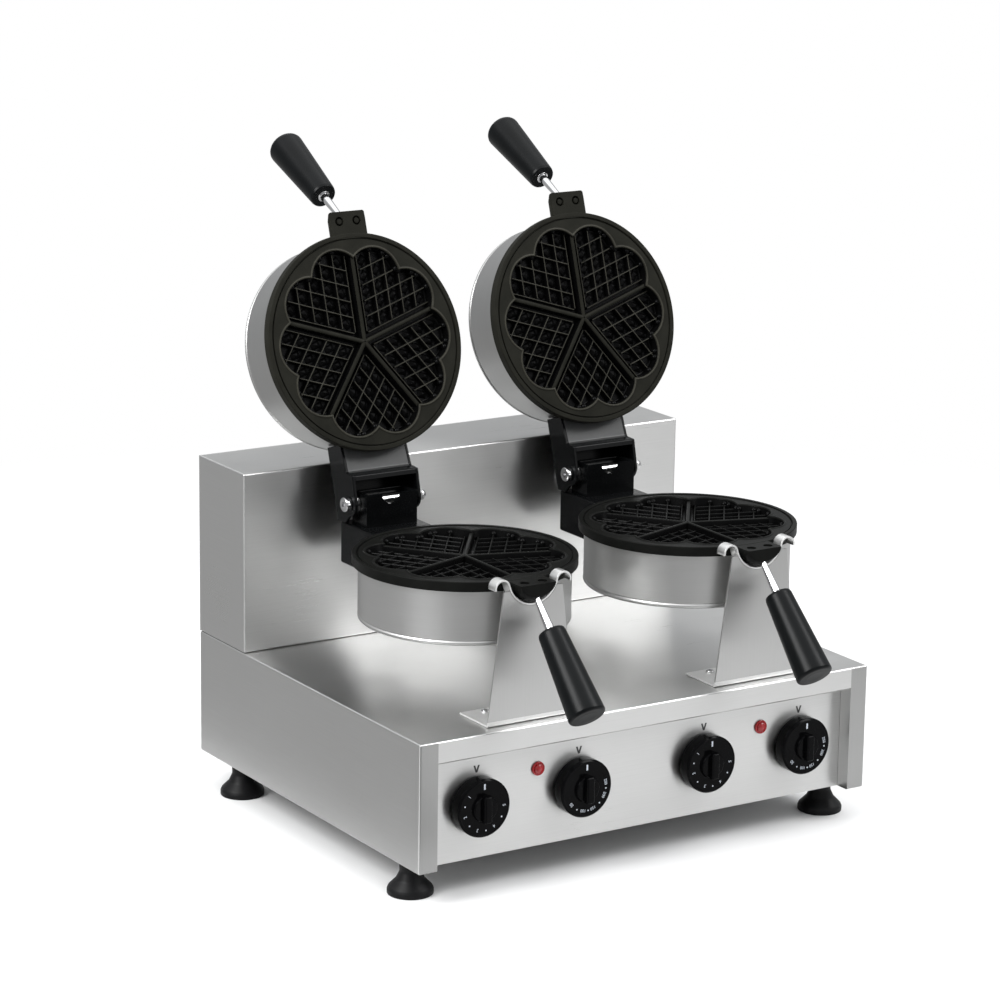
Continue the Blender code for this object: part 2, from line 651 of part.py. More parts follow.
# ---------------------------------------------------------------- front brackets
def bracket_mesh():
    """Folded bracket: a trapezoid upright with a round notch, and a foot turned back along the deck.
    Its origin is on the deck under the flip axis, on its front face."""
    shoulder = AXIS_RISE - 0.0065
    centre = (0, AXIS_RISE + NOTCH_RISE)
    radius = NOTCH_RADIUS + CRADLE_SHEET + GAP
    reach = math.degrees(math.asin((centre[1] - shoulder) / radius))
    notch = arc(centre, radius, 180 + reach, 360 - reach, 16)
    bend = 0.0008
    outline = [(-BRACKET_FOOT_HALF, GAP + bend), (BRACKET_FOOT_HALF, GAP + bend),
               (BRACKET_TOP_HALF, shoulder)]
    outline += [point for point in reversed(notch)] + [(-BRACKET_TOP_HALF, shoulder)]
    upright = extruded([outline], 0, BRACKET_SHEET, upright=True)
    half = BRACKET_FOOT_HALF - 0.0015
    foot = box((-half, bend, GAP), (half, BRACKET_FLANGE, GAP + BRACKET_SHEET))
    unite(upright, foot)
    for x in (-0.026, 0.026):
        cut(upright, cylinder(0.0024, (x, 0.040, -0.01), (x, 0.040, 0.01), 12))
    return finish(upright)


def cradle_mesh():
    """Chromed strip that lines the notch and curls outwards over its shoulders."""
    half_path = cradle_path(0)
    outside = cradle_path(CRADLE_SHEET)
    outline = half_path + list(reversed(outside))
    return finish(extruded([outline], 0, CRADLE_WIDTH, upright=True))


def cradle_path(offset):
    """One face of the strip from ear to ear: the notch's arc joined to an outward curl each side."""
    centre = (0, AXIS_RISE + NOTCH_RISE)
    span, drop = NOTCH_RADIUS + EAR_RADIUS, NOTCH_RISE - EAR_RISE
    ear = (math.sqrt(span ** 2 - drop ** 2), centre[1] - drop)
    radius = NOTCH_RADIUS + offset
    join = math.degrees(math.atan2(ear[1] - centre[1], ear[0] - centre[0]))
    notch = arc(centre, radius, -90, join, 9)
    curl = arc(ear, EAR_RADIUS - offset, join + 180, -10, 10)
    right = notch + curl[1:]
    left = [(-x, z) for x, z in reversed(right[1:])]
    return left + right


# ---------------------------------------------------------------- assembly
def build_base():
    """Everything that stays still."""
    base = frame("base", (0, FRONT_Y, FOOT_HEIGHT))
    part("base_cabinet", cabinet_mesh(), "stainless", base)
    part("control_panel", panel_mesh(), "stainless", base)
    part("bottom_plate", bottom_mesh(), "plain_steel", base)
    part("cable_gland", cable_gland_mesh(), "rubber", base, (0.20, CABINET_DEPTH, 0.035),
         (-math.pi / 2, 0, 0))

    deck = frame("deck", (0, FRONT_Y, DECK))
    wall = CABINET_DEPTH - HOUSING_DEPTH
    part("rear_housing", housing_mesh(), "stainless", deck, (0, wall, GAP))
    part("rear_cover", rear_cover_mesh(), "stainless", deck, (0, CABINET_DEPTH - SHEET, GAP))
    part("pivot_support", pivot_support_mesh(), "plain_steel", deck, (0, 0.395, GAP))
    part("terminal_block", terminal_block_mesh(), "ceramic", deck, (0, 0.36, GAP))

    foot = foot_mesh()
    for end, y in (("front", FOOT_FRONT), ("rear", FOOT_REAR)):
        for name, side in SIDES:
            part(f"foot_{end}_{name}", foot, "rubber", None, (side * FOOT_X, FRONT_Y + y, 0))

    timer, thermostat = regulator_mesh(0.044, 0.032), regulator_mesh(0.040, 0.026)
    lamp, bearing = lamp_mesh(), bearing_mesh()
    bracket, cradle = bracket_mesh(), cradle_mesh()
    for name, side in SIDES:
        x = side * HEAD_X
        part(f"timer_{name}", timer, "plain_steel", base, (x - KNOB_OFFSET, 0, KNOB_HEIGHT))
        part(f"thermostat_{name}", thermostat, "plain_steel", base, (x + KNOB_OFFSET, 0, KNOB_HEIGHT))
        part(f"indicator_lamp_{name}", lamp, "lamp_red", base,
             (x + LAMP_OFFSET, PANEL_INSET, LAMP_HEIGHT), (math.pi / 2, 0, 0))
        part(f"pivot_bearing_{name}", bearing, "plain_steel", deck, (x, wall, AXIS_RISE),
             (math.pi / 2, 0, 0))
        part(f"front_bracket_{name}", bracket, "stainless", deck, (x, BRACKET_FRONT, 0))
        part(f"cradle_{name}", cradle, "chrome", deck, (x, BRACKET_FRONT, 0))


def build_knobs():
    """Four knobs, each on an empty at its joint's axis, front face towards -Y."""
    knob = knob_mesh()
    for kind, offset in (("timer", -KNOB_OFFSET), ("thermostat", KNOB_OFFSET)):
        for name, side in SIDES:
            place = (side * HEAD_X + offset, FRONT_Y + KNOB_FRONT, FOOT_HEIGHT + KNOB_HEIGHT)
            axis = frame(f"{kind}_axis_{name}", place)
            part(f"{kind}_knob_{name}", knob, "knob_black", axis, (0, 0, 0), (math.pi / 2, 0, 0))


def build_heads():
    """Both irons: the lower half on the flip axis, and the lid on the pin, opened to its stop."""
    plate, casing, element = plate_mesh(), casing_mesh(), element_mesh()
    rod, grip = handle_meshes()
    bracket, arm, shaft = hinge_bracket_mesh(), hinge_arm_mesh(), shaft_mesh()
    bolt, nut = pin_meshes()
    turn = Vector((0, 0, -1)).rotation_difference(handle_direction()).to_euler()
    for name, side in SIDES:
        head = frame(f"flip_axis_{name}", (side * HEAD_X, FRONT_Y + HEAD_Y, DECK + AXIS_RISE))
        hinge = frame(f"lid_hinge_{name}", PIN, (-LID_OPEN, 0, 0), head)
        shut = frame(f"lid_{name}", -PIN, (0, 0, 0), hinge)
        turned_over = frame(f"upper_half_{name}", (0, 0, 0), (0, math.pi, 0), shut)
        for half, owner in (("lower", head), ("upper", turned_over)):
            part(f"{half}_plate_{name}", plate, "cast_black", owner)
            part(f"{half}_casing_{name}", casing, "stainless", owner)
            part(f"{half}_element_{name}", element, "plain_steel", owner)
            part(f"{half}_handle_rod_{name}", rod, "chrome", owner, HANDLE_EXIT, turn)
            part(f"{half}_grip_{name}", grip, "bakelite", owner, HANDLE_EXIT, turn)
        part(f"hinge_bracket_{name}", bracket, "hinge_black", head)
        part(f"pivot_shaft_{name}", shaft, "plain_steel", head)
        part(f"hinge_pin_{name}", bolt, "chrome", head, PIN)
        part(f"hinge_nut_{name}", nut, "chrome", head, PIN)
        part(f"hinge_arm_{name}", arm, "hinge_black", shut)


build_base()
build_knobs()
build_heads()
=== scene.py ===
import json
import math

import bmesh
import bpy
from mathutils import Matrix, Vector


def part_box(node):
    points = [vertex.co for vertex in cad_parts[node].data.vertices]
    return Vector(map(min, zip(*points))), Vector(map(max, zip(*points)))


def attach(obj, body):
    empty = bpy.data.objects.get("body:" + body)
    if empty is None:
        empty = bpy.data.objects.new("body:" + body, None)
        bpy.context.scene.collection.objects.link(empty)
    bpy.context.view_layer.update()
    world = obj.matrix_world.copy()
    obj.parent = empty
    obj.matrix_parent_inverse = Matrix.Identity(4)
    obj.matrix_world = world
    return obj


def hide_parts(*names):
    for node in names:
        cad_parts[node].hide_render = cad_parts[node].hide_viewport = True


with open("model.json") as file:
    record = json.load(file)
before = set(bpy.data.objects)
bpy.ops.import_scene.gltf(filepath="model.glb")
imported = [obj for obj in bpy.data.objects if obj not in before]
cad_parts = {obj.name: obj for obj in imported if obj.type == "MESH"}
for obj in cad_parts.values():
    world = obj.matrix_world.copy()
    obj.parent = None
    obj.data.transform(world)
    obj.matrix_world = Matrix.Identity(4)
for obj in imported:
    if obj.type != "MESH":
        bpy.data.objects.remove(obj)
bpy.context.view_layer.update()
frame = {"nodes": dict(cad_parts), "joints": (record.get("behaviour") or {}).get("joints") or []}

# Looks of a double rotary waffle baker. Meshes are built in millimetres and placed in metres.
# A baking half is built lying open face up, with its nose to -Y and its origin on the flip axis.

MM = Matrix.Scale(0.001, 4)
SIDES = ("left", "right")
LID_OPEN = math.radians(108)            # lid turned up from closed
HANDLE_DROOP = math.radians(46)
HANDLE_EXIT = Vector((0, -128, -15.7))  # handle's exit from the nose, from the head's centre
NOSE_ANGLE = -90.0                      # direction of the nose seen from the plate's centre, degrees

JOINTS = {joint["name"]: joint for joint in frame["joints"]}
CABINET_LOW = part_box("base_cabinet")[0]

# Cabinet and housing, in millimetres: y from the front face back, z from the lower edge up.
HALF_WIDTH, CABINET_DEPTH, CABINET_HEIGHT = 260, 434, 127
HOUSING_FRONT, HOUSING_LOW, HOUSING_TOP = 339.6, 127.3, 310.9
PANEL_HALF, PANEL_TOP = 240, 105        # opening for the control panel
SHEET = 1.2                             # thickness of the steel


# ---------------------------------------------------------------- mesh helpers
def arc(centre, radius, start, end, steps):
    """Points on an arc, from one angle to another, in degrees."""
    angles = [math.radians(start + (end - start) * i / steps) for i in range(steps + 1)]
    return [(centre[0] + radius * math.cos(a), centre[1] + radius * math.sin(a)) for a in angles]


def filleted(points, closed=False, steps=4):
    """Corners given as (x, y) or (x, y, radius), with those that have a radius rounded."""
    out = []
    for i, point in enumerate(points):
        corner = Vector(point[:2])
        at_end = not closed and i in (0, len(points) - 1)
        if len(point) < 3 or at_end:
            out.append(tuple(corner))
            continue
        before = (Vector(points[i - 1][:2]) - corner).normalized()
        after = (Vector(points[(i + 1) % len(points)][:2]) - corner).normalized()
        half = before.angle(after) / 2
        centre = corner + (before + after).normalized() * point[2] / math.sin(half)
        start = corner + before * point[2] / math.tan(half) - centre
        end = corner + after * point[2] / math.tan(half) - centre
        first = math.atan2(start.y, start.x)
        sweep = (math.atan2(end.y, end.x) - first + math.pi) % (2 * math.pi) - math.pi
        out += arc(centre, point[2], math.degrees(first), math.degrees(first + sweep), steps)
    return out


def loft(rings, closed_ends=False, capped=True):
    """Faces between rings of equally many points; a ring of one point closes like a cone."""
    bm = bmesh.new()
    made = [[bm.verts.new(point) for point in ring] for ring in rings]
    pairs = list(zip(made, made[1:])) + ([(made[-1], made[0])] if closed_ends else [])
    for top, low in pairs:
        count = max(len(top), len(low))
        for k in range(count):
            j = (k + 1) % count
            quad = [top[k % len(top)], low[k % len(low)], low[j % len(low)], top[j % len(top)]]
            quad = list(dict.fromkeys(quad))
            if len(quad) > 2:
                bm.faces.new(quad)
    if capped and not closed_ends:
        for ring in (made[0], made[-1]):
            if len(ring) > 2:
                bm.faces.new(ring)
    bmesh.ops.recalc_face_normals(bm, faces=bm.faces)
    return bm


def lathe(profile, steps=96, closed=False):
    """A solid turned about Z from (radius, height) points."""
    turns = [2 * math.pi * k / steps for k in range(steps)]
    rings = [[(0, 0, z)] if r < 1e-6 else [(r * math.cos(a), r * math.sin(a), z) for a in turns]
             for r, z in profile]
    return loft(rings, closed_ends=closed, capped=False)


def prism(outline, low, high, bevel=0.0, steps=2):
    """A flat outline in XY given a thickness along Z, with the edges of both faces rounded."""
    bm = loft([[(x, y, z) for x, y in outline] for z in (low, high)])
    if bevel:
        rims = [e for e in bm.edges if abs(e.verts[0].co.z - e.verts[1].co.z) < 1e-6]
        bmesh.ops.bevel(bm, geom=rims, offset=bevel, segments=steps, profile=0.5,
                        affect="EDGES", clamp_overlap=True)
    return bm


def block(low, high, bevel=0.5, steps=3):
    """A box between two corners with rounded edges."""
    low, high = Vector(low), Vector(high)
    bm = bmesh.new()
    bmesh.ops.create_cube(bm, size=1.0)
    bmesh.ops.scale(bm, vec=high - low, verts=bm.verts)
    bmesh.ops.translate(bm, vec=(low + high) / 2, verts=bm.verts)
    if bevel:
        bmesh.ops.bevel(bm, geom=bm.edges[:], offset=bevel, segments=steps, profile=0.5,
                        affect="EDGES", clamp_overlap=True)
    return bm


def moved(bm, *steps):
    """The mesh after the given matrices, the first one applied first."""
    for step in steps:
        bm.transform(step)
    return bm


def at(x, y, z):
    return Matrix.Translation((x, y, z))


def turn(degrees, axis):
    return Matrix.Rotation(math.radians(degrees), 4, axis)


TO_XZ = turn(90, "X")                   # (x, y, z) becomes (x, -z, y)
TO_YZ = Matrix(((0, 0, 1, 0), (1, 0, 0, 0), (0, 1, 0, 0), (0, 0, 0, 1)))   # (x, y, z) to (z, x, y)


def carved(bm, *cutters):
    """The first solid with the others cut away."""
    objects = []
    for part in (bm, *cutters):
        mesh = bpy.data.meshes.new("carving")
        part.to_mesh(mesh)
        part.free()
        objects.append(bpy.data.objects.new("carving", mesh))
        bpy.context.scene.collection.objects.link(objects[-1])
    for cutter in objects[1:]:
        step = objects[0].modifiers.new("cut", "BOOLEAN")
        step.operation = "DIFFERENCE"
        step.object = cutter
    bpy.context.view_layer.update()
    graph = bpy.context.evaluated_depsgraph_get()
    result = bmesh.new()
    result.from_mesh(bpy.data.meshes.new_from_object(objects[0].evaluated_get(graph)))
    for obj in objects:
        bpy.data.objects.remove(obj)
    return result


def joined(shapes, smooth=40):
    """One mesh in metres from (shape, material) pairs; a material is a slot, or a rule for each face."""
    whole = bmesh.new()
    for shape, slot in shapes:
        for face in shape.faces:
            face.material_index = slot(face) if callable(slot) else slot
        mesh = bpy.data.meshes.new("shape")
        shape.to_mesh(mesh)
        shape.free()
        whole.from_mesh(mesh)
        bpy.data.meshes.remove(mesh)
    whole.transform(MM)
    mesh = bpy.data.meshes.new("joined")
    whole.to_mesh(mesh)
    whole.free()
    mesh.shade_smooth()
    mesh.set_sharp_from_angle(angle=math.radians(smooth))
    return mesh


def piece(name, mesh, materials, body, matrix=Matrix.Identity(4), replaces=()):
    """A visible piece that rides on a body. matrix places it in metres, in the row's frame."""
    if not mesh.materials:
        for material in materials:
            mesh.materials.append(material)
    obj = bpy.data.objects.new(name, mesh)
    bpy.context.scene.collection.objects.link(obj)
    obj.matrix_world = matrix
    normals = obj.modifiers.new("normals", "WEIGHTED_NORMAL")
    normals.keep_sharp = True
    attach(obj, body)
    if replaces:
        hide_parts(*replaces)


# ---------------------------------------------------------------- materials
NOISE_LOW, NOISE_HIGH = 0.3, 0.7        # most of a noise texture's values lie between these


def shader(name, colour, roughness, metallic=0.0, **sockets):
    """A Principled material with its constants set; returns it, its node tree and its shader node."""
    made = bpy.data.materials.new(name)
    made.use_nodes = True
    tree = made.node_tree
    principled = tree.nodes["Principled BSDF"]
    principled.inputs["Base Color"].default_value = (*colour, 1)
    principled.inputs["Roughness"].default_value = roughness
    principled.inputs["Metallic"].default_value = metallic
    for socket, value in sockets.items():
        principled.inputs[socket.replace("_", " ")].default_value = value
    return made, tree, principled


def noise(tree, stretch, detail, roughness=0.55):
    """A noise texture over the object's own coordinates in metres, stretched per axis."""
    coords = tree.nodes.new("ShaderNodeTexCoord")
    mapping = tree.nodes.new("ShaderNodeMapping")
    mapping.inputs["Scale"].default_value = stretch
    texture = tree.nodes.new("ShaderNodeTexNoise")
    texture.inputs["Scale"].default_value = 1.0
    texture.inputs["Detail"].default_value = detail
    texture.inputs["Roughness"].default_value = roughness
    tree.links.new(coords.outputs["Object"], mapping.inputs["Vector"])
    tree.links.new(mapping.outputs["Vector"], texture.inputs["Vector"])
    return texture.outputs["Fac"]


def ranged(tree, value, low, high, start=NOISE_LOW, end=NOISE_HIGH):
    """A value between start and end spread from low to high."""
    node = tree.nodes.new("ShaderNodeMapRange")
    for socket, number in (("From Min", start), ("From Max", end), ("To Min", low), ("To Max", high)):
        node.inputs[socket].default_value = number
    tree.links.new(value, node.inputs["Value"])
    return node.outputs["Result"]


def tinted(tree, principled, value, dark, light):
    """Base colour between two colours."""
    ramp = tree.nodes.new("ShaderNodeValToRGB")
    ramp.color_ramp.elements[0].position = NOISE_LOW
    ramp.color_ramp.elements[1].position = NOISE_HIGH
    ramp.color_ramp.elements[0].color = (*dark, 1)
    ramp.color_ramp.elements[1].color = (*light, 1)
    tree.links.new(value, ramp.inputs["Fac"])
    tree.links.new(ramp.outputs["Color"], principled.inputs["Base Color"])


def bumped(tree, principled, value, strength, depth):
    """Bump only, with its depth in metres."""
    bump = tree.nodes.new("ShaderNodeBump")
    bump.inputs["Strength"].default_value = strength
    bump.inputs["Distance"].default_value = depth
    tree.links.new(value, bump.inputs["Height"])
    tree.links.new(bump.outputs["Normal"], principled.inputs["Normal"])


def brushed_steel(name, stretch, base=0.62, low=0.29, high=0.34, along=None):
    """Satin stainless steel; its grain runs along the axis with the smallest stretch.

    along is the grain's direction, given only for steel that stays still.
    """
    made, tree, principled = shader(name, (base, base, base * 0.985), (low + high) / 2, 1.0)
    if along is not None:
        principled.inputs["Anisotropic"].default_value = 0.75
        principled.inputs["Anisotropic Rotation"].default_value = 0.25
        direction = tree.nodes.new("ShaderNodeCombineXYZ")
        for socket, value in zip(direction.inputs, along):
            socket.default_value = value
        tree.links.new(direction.outputs[0], principled.inputs["Tangent"])
    grain = noise(tree, stretch, 5.0, 0.7)
    smudge = noise(tree, (9, 9, 9), 3.0)
    tinted(tree, principled, grain, [base * c for c in (0.965, 0.965, 0.955)],
           [base * c for c in (1.03, 1.03, 1.02)])
    added = tree.nodes.new("ShaderNodeMath")
    added.operation = "ADD"
    tree.links.new(ranged(tree, grain, low, high), added.inputs[0])
    tree.links.new(ranged(tree, smudge, -0.03, 0.04), added.inputs[1])
    tree.links.new(added.outputs["Value"], principled.inputs["Roughness"])
    bumped(tree, principled, grain, strength=0.02, depth=0.0002)
    return made


def speckled(name, colour, light, roughness, spread, scale, bump, metallic=0.0, **sockets):
    """Paint, plating, rubber or plastic: cloudy colour, and fine grain in roughness and height."""
    made, tree, principled = shader(name, colour, roughness, metallic, **sockets)
    grain = noise(tree, (scale, scale, scale), 5.0, 0.6)
    cloud = noise(tree, (38, 38, 38), 3.0)
    tinted(tree, principled, cloud, colour, light)
    tree.links.new(ranged(tree, grain, roughness - spread, roughness + spread),
                   principled.inputs["Roughness"])
    bumped(tree, principled, grain, strength=bump, depth=0.0003)
    return made


GRAIN_X = brushed_steel("steel_grain_x", (14, 1500, 1500), along=(1, 0, 0))
GRAIN_Y = brushed_steel("steel_grain_y", (1500, 14, 1500), along=(0, 1, 0))
GRAIN_ROUND = brushed_steel("steel_grain_round", (14, 14, 1200), 0.56, 0.36, 0.42)
# Darker copy of the casings' steel for the lids' casings: painted shade.
UPPER_ROUND_SHADE = brushed_steel("steel_upper_round_painted_shade", (14, 14, 1200), 0.44, 0.36, 0.42)
GRAIN_UP = brushed_steel("steel_grain_up", (1500, 1500, 14), 0.56, along=(0, 0, 1))
# Darker copy of the upright steel for the posts beside the panel: painted shade.
POST_STEEL_SHADE = brushed_steel("steel_posts_painted_shade", (900, 900, 10), 0.40)
PLAIN_STEEL = brushed_steel("plain_steel", (60, 60, 60), 0.45, 0.38, 0.5)
PIN_STEEL = brushed_steel("pin_steel", (30, 900, 900), 0.85, 0.17, 0.25)
BRIGHT_STEEL = brushed_steel("bright_satin_steel", (60, 60, 60), 0.88, 0.30, 0.40)
# Rougher copy of the bracket's steel for its foot; its lighter colour is painted light.
FOOT_STEEL_LIT = brushed_steel("bracket_foot_painted_light", (60, 60, 60), 0.92, 0.52, 0.60)
CHROME = speckled("chrome", (0.66, 0.66, 0.67), (0.72, 0.72, 0.72), 0.12, 0.03, 260, 0.02, metallic=1.0)
NONSTICK = speckled("nonstick_coating", (0.0120, 0.0120, 0.0094), (0.0185, 0.0182, 0.0144), 0.46, 0.08, 900,
                    0.10, Specular_IOR_Level=0.04)
# Lighter coating on the crests of fins and bead: painted highlight for the reflections on their rounded
# tops.
NONSTICK_CREST_HIGHLIGHT = speckled("nonstick_painted_crest_highlight", (0.026, 0.025, 0.019), (0.044, 0.042, 0.033), 0.42, 0.08,
                         900, 0.10, Specular_IOR_Level=0.12)
# Near-black coating in the moulds and on the flanks of ribs and fins, studs and wall bosses: painted shade.
NONSTICK_MOULD_SHADE = speckled("nonstick_painted_mould_shade", (0.0014, 0.0014, 0.0015), (0.0028, 0.0028, 0.0028), 0.28,
                         0.06, 800, 0.12, Specular_IOR_Level=0.09)
# Darker copy of the coating for the lower plates: painted shade, not oil; its crest copy is a little
# lighter, a painted highlight.
LOWER_SHADE = speckled("nonstick_lower_painted_shade", (0.0052, 0.0054, 0.0050), (0.0085, 0.0088, 0.0080), 0.36, 0.08, 900, 0.10,
                Specular_IOR_Level=0.05)
LOWER_SHADE_CREST = speckled("nonstick_lower_painted_shade_crest", (0.0058, 0.0060, 0.0056), (0.0095, 0.0098, 0.0090), 0.34, 0.08,
                     900, 0.10, Specular_IOR_Level=0.05)
HINGE_BLACK = speckled("hinge_paint", (0.0016, 0.0018, 0.0020), (0.0032, 0.0035, 0.0038), 0.25, 0.05, 1600,
                       0.035, Specular_IOR_Level=0.12)
# Rougher black for the arm's upper web; its lighter colour is painted sheen of the light from above.
WEB_SHEEN = speckled("web_paint_painted_sheen", (0.030, 0.031, 0.031), (0.052, 0.053, 0.053), 0.42, 0.08, 1200, 0.15,
                     Specular_IOR_Level=0.5)
BAKELITE = speckled("grip_phenolic", (0.0014, 0.0019, 0.0022), (0.0026, 0.0034, 0.0040), 0.33, 0.05, 1600,
                    0.05, Specular_IOR_Level=0.15)
KNOB_BLACK = speckled("knob_phenolic", (0.0016, 0.0016, 0.0019), (0.0028, 0.0028, 0.0032), 0.16, 0.04, 500,
                      0.02, Specular_IOR_Level=0.06)
PRINT_WHITE = speckled("dial_print", (0.55, 0.60, 0.68), (0.66, 0.70, 0.76), 0.45, 0.05, 900, 0.02)
PRINT_DARK = speckled("panel_print", (0.030, 0.030, 0.032), (0.05, 0.05, 0.05), 0.4, 0.05, 900, 0.02)
LENS_RED = speckled("lens_red", (0.30, 0.006, 0.010), (0.42, 0.014, 0.018), 0.18, 0.05, 300, 0.05,
                    Coat_Weight=0.4, Coat_Roughness=0.08)
RUBBER = speckled("foot_rubber", (0.0035, 0.0035, 0.004), (0.006, 0.006, 0.0065), 0.45, 0.10, 900, 0.2,
                  Specular_IOR_Level=0.2)
CERAMIC = speckled("ceramic", (0.70, 0.68, 0.62), (0.80, 0.78, 0.72), 0.5, 0.1, 300, 0.1)


# ---------------------------------------------------------------- baking plates
PLATE_TOP, FLOOR = -1.2, -11.2          # flat face and mould floor, below the parting plane
RIM_TOP = -0.4
PLATE_RADIUS, PLATE_BACK = 109.0, -18.0
RIB_TOP, FIN_TOP, LEDGE_TOP = -2.9, -5.6, -7.4
BEAD = 0.72                             # height of the bead over the face
NOSE_HOLES, NOSE_HOLE_Y = (-9.8, 9.8), -121.2
NOSE_TOP = -0.6
HEARTS = 5
WEDGE = 2 * math.pi / HEARTS
LOBE_CENTRE, LOBE_RADIUS = 67.2, 30.3   # ten lobes round the five hearts, on the bead
FIN_PITCH, FIN_FIRST = 14.9, 21.4       # fins, measured square to the rib they follow
LEDGE = 6.6                             # low fin beside the rib, measured the same way


def scallop_radius(angle, shrink=0.0):
    """Distance of the hearts' outer wall from the centre in one direction."""
    half = WEDGE / 4
    off = (angle - math.radians(NOSE_ANGLE) - half) % (2 * half)
    off = min(off, 2 * half - off)
    across = LOBE_CENTRE * math.sin(off)
    return LOBE_CENTRE * math.cos(off) + math.sqrt((LOBE_RADIUS - shrink) ** 2 - across ** 2)


# Slot 1 is a painted highlight on crests, slot 2 painted shade in the moulds.
FACE, CREST_HIGHLIGHT, MOULD_SHADE = 0, 1, 2              # material slots of a plate


def body_painted_light(face):
    """The moulds are darker, painted shade, and the bead's crest is lighter, a painted highlight."""
    middle = face.calc_center_median()
    if middle.xy.length > LOBE_CENTRE + LOBE_RADIUS + 1 or middle.z < -13:
        return FACE
    if middle.z < PLATE_TOP - 0.3:
        return MOULD_SHADE
    return CREST_HIGHLIGHT if abs(middle.z - PLATE_TOP - BEAD) < 0.2 else FACE


# Up-facing tops of ribs and fins; a fin's top gets the painted highlight.
def crest(face):
    return face.normal.z > 0.8 and face.calc_center_median().z > FLOOR + 1.5


def rib_painted_shade(face):
    """The crest of a rib is plain; its flanks are darker, painted shade."""
    return FACE if crest(face) else MOULD_SHADE


def fin_painted_light(face):
    """The crest of a fin is lighter, a painted highlight; its flanks are darker, painted shade."""
    return CREST_HIGHLIGHT if crest(face) else MOULD_SHADE


def bar(start, end, top, width_top, width_base, ramp):
    """A cast rib: a drafted bar with a rounded top, from the mould floor, its ends sloping down."""
    start, end = Vector(start), Vector(end)
    along = (end - start).normalized()
    side = Vector((-along.y, along.x))
    wide, narrow = width_base / 2, width_top / 2
    foot = FLOOR - 0.4
    section = [(-wide, foot), (-narrow - 0.12, top - 0.75), (-narrow * 0.62, top - 0.12), (0, top),
               (narrow * 0.62, top - 0.12), (narrow + 0.12, top - 0.75), (wide, foot)]
    rings = []
    for place, height in ((0, 0), (ramp, 1), ((end - start).length - ramp, 1), ((end - start).length, 0)):
        centre = start + along * place
        rings.append([(*(centre + side * across), foot + (z - foot) * (0.1 + 0.9 * height))
                      for across, z in section])
    return loft(rings)


def wedge_directions(index):
    """Unit vectors along the two ribs beside one heart."""
    first = math.radians(NOSE_ANGLE) + WEDGE * index
    return [Vector((math.cos(a), math.sin(a))) for a in (first, first + WEDGE)]


def lattice(index):
    """Fins, wall bosses and cell studs of one heart, on a rhombic grid parallel to its two ribs."""
    ribs = wedge_directions(index)
    sine = math.sin(WEDGE)
    shapes = []
    for one, other in (ribs, ribs[::-1]):
        for k in range(-1, 4):
            distance = LEDGE if k < 0 else FIN_FIRST + FIN_PITCH * k
            top = LEDGE_TOP if k < 0 else FIN_TOP
            base = other * distance / sine
            reach = [s for s in range(8, round(PLATE_RADIUS) + 1)
                     if inside_wall(base + one * s, 2.2) and s * sine > LEDGE + 0.4]
            if len(reach) > 8:
                start, end = base + one * reach[0], base + one * reach[-1]
                shapes.append((bar(start, end, top, 1.5, 3.4, 0.6), fin_painted_light))
                if k >= 0:
                    shapes.append((wall_boss(end), MOULD_SHADE))
    edges = [LEDGE] + [FIN_FIRST + FIN_PITCH * k for k in range(5)]
    middles = [(a + b) / 2 for a, b in zip(edges, edges[1:])]
    for a in middles:
        for b in middles:
            centre = ribs[0] * (a / sine) + ribs[1] * (b / sine)
            if inside_wall(centre, 8.0):
                shapes.append((stud(centre, ribs), MOULD_SHADE))
    return shapes


def stud(centre, ribs):
    """Blunt pyramid that fills a cell."""
    reach, height, blunt = 6.9, 3.7, 0.07
    corners = [centre + ribs[0] * reach, centre + ribs[1] * reach, centre - ribs[0] * reach,
               centre - ribs[1] * reach]
    ring = [(*corner, FLOOR - 0.2) for corner in corners]
    inner = [(*(centre + (corner - centre) * blunt), FLOOR + height) for corner in corners]
    return loft([ring, inner])


def wall_boss(foot):
    """Rounded lump where a fin meets the mould's wall."""
    profile = [(0, FLOOR - 0.3), (3.5, FLOOR - 0.3), (3.1, FIN_TOP + 0.4), (2.4, FIN_TOP + 1.8),
               (1.2, FIN_TOP + 2.6), (0, FIN_TOP + 2.9)]
    return moved(lathe(profile, 14), at(foot.x, foot.y, 0))


def inside_wall(point, margin):
    """Whether a point is inside the hearts' outer wall by more than a margin."""
    return point.length < scallop_radius(math.atan2(point.y, point.x)) - margin


def nose():
    """Half-round front bearing of a plate, tapered below at its tip, with two screw recesses."""
    stations = [(-130.9, 18.2, 12.0), (-130.4, 19.4, 13.0), (-129.2, 20.2, 14.4), (-123.2, 20.5, 20.3),
                (-103.5, 20.5, 20.3)]
    rings = []
    for y, half, depth in stations:
        under = [(half * math.cos(a), depth * math.sin(a))
                 for a in [math.radians(186 + 168 * i / 28) for i in range(29)]]
        ring = [(0.6 - half, NOSE_TOP), *under, (half - 0.6, NOSE_TOP)]
        rings.append([(x, y, z) for x, z in ring])
    hole = [(0, 2), (4.7, 2), (4.7, -4), (0, -4)]
    holes = [moved(lathe(hole, 32), at(x, NOSE_HOLE_Y, NOSE_TOP)) for x in NOSE_HOLES]
    return carved(loft(rings), *holes)


def nose_screws():
    """Screw heads down in the nose's recesses, both a little off centre."""
    profile = filleted([(0, -1.8), (3.1, -1.8, 0.9), (3.1, -5.0), (0, -5.0)])
    return [moved(lathe(profile, 24), at(x - 0.8, NOSE_HOLE_Y, 0)) for x in NOSE_HOLES]


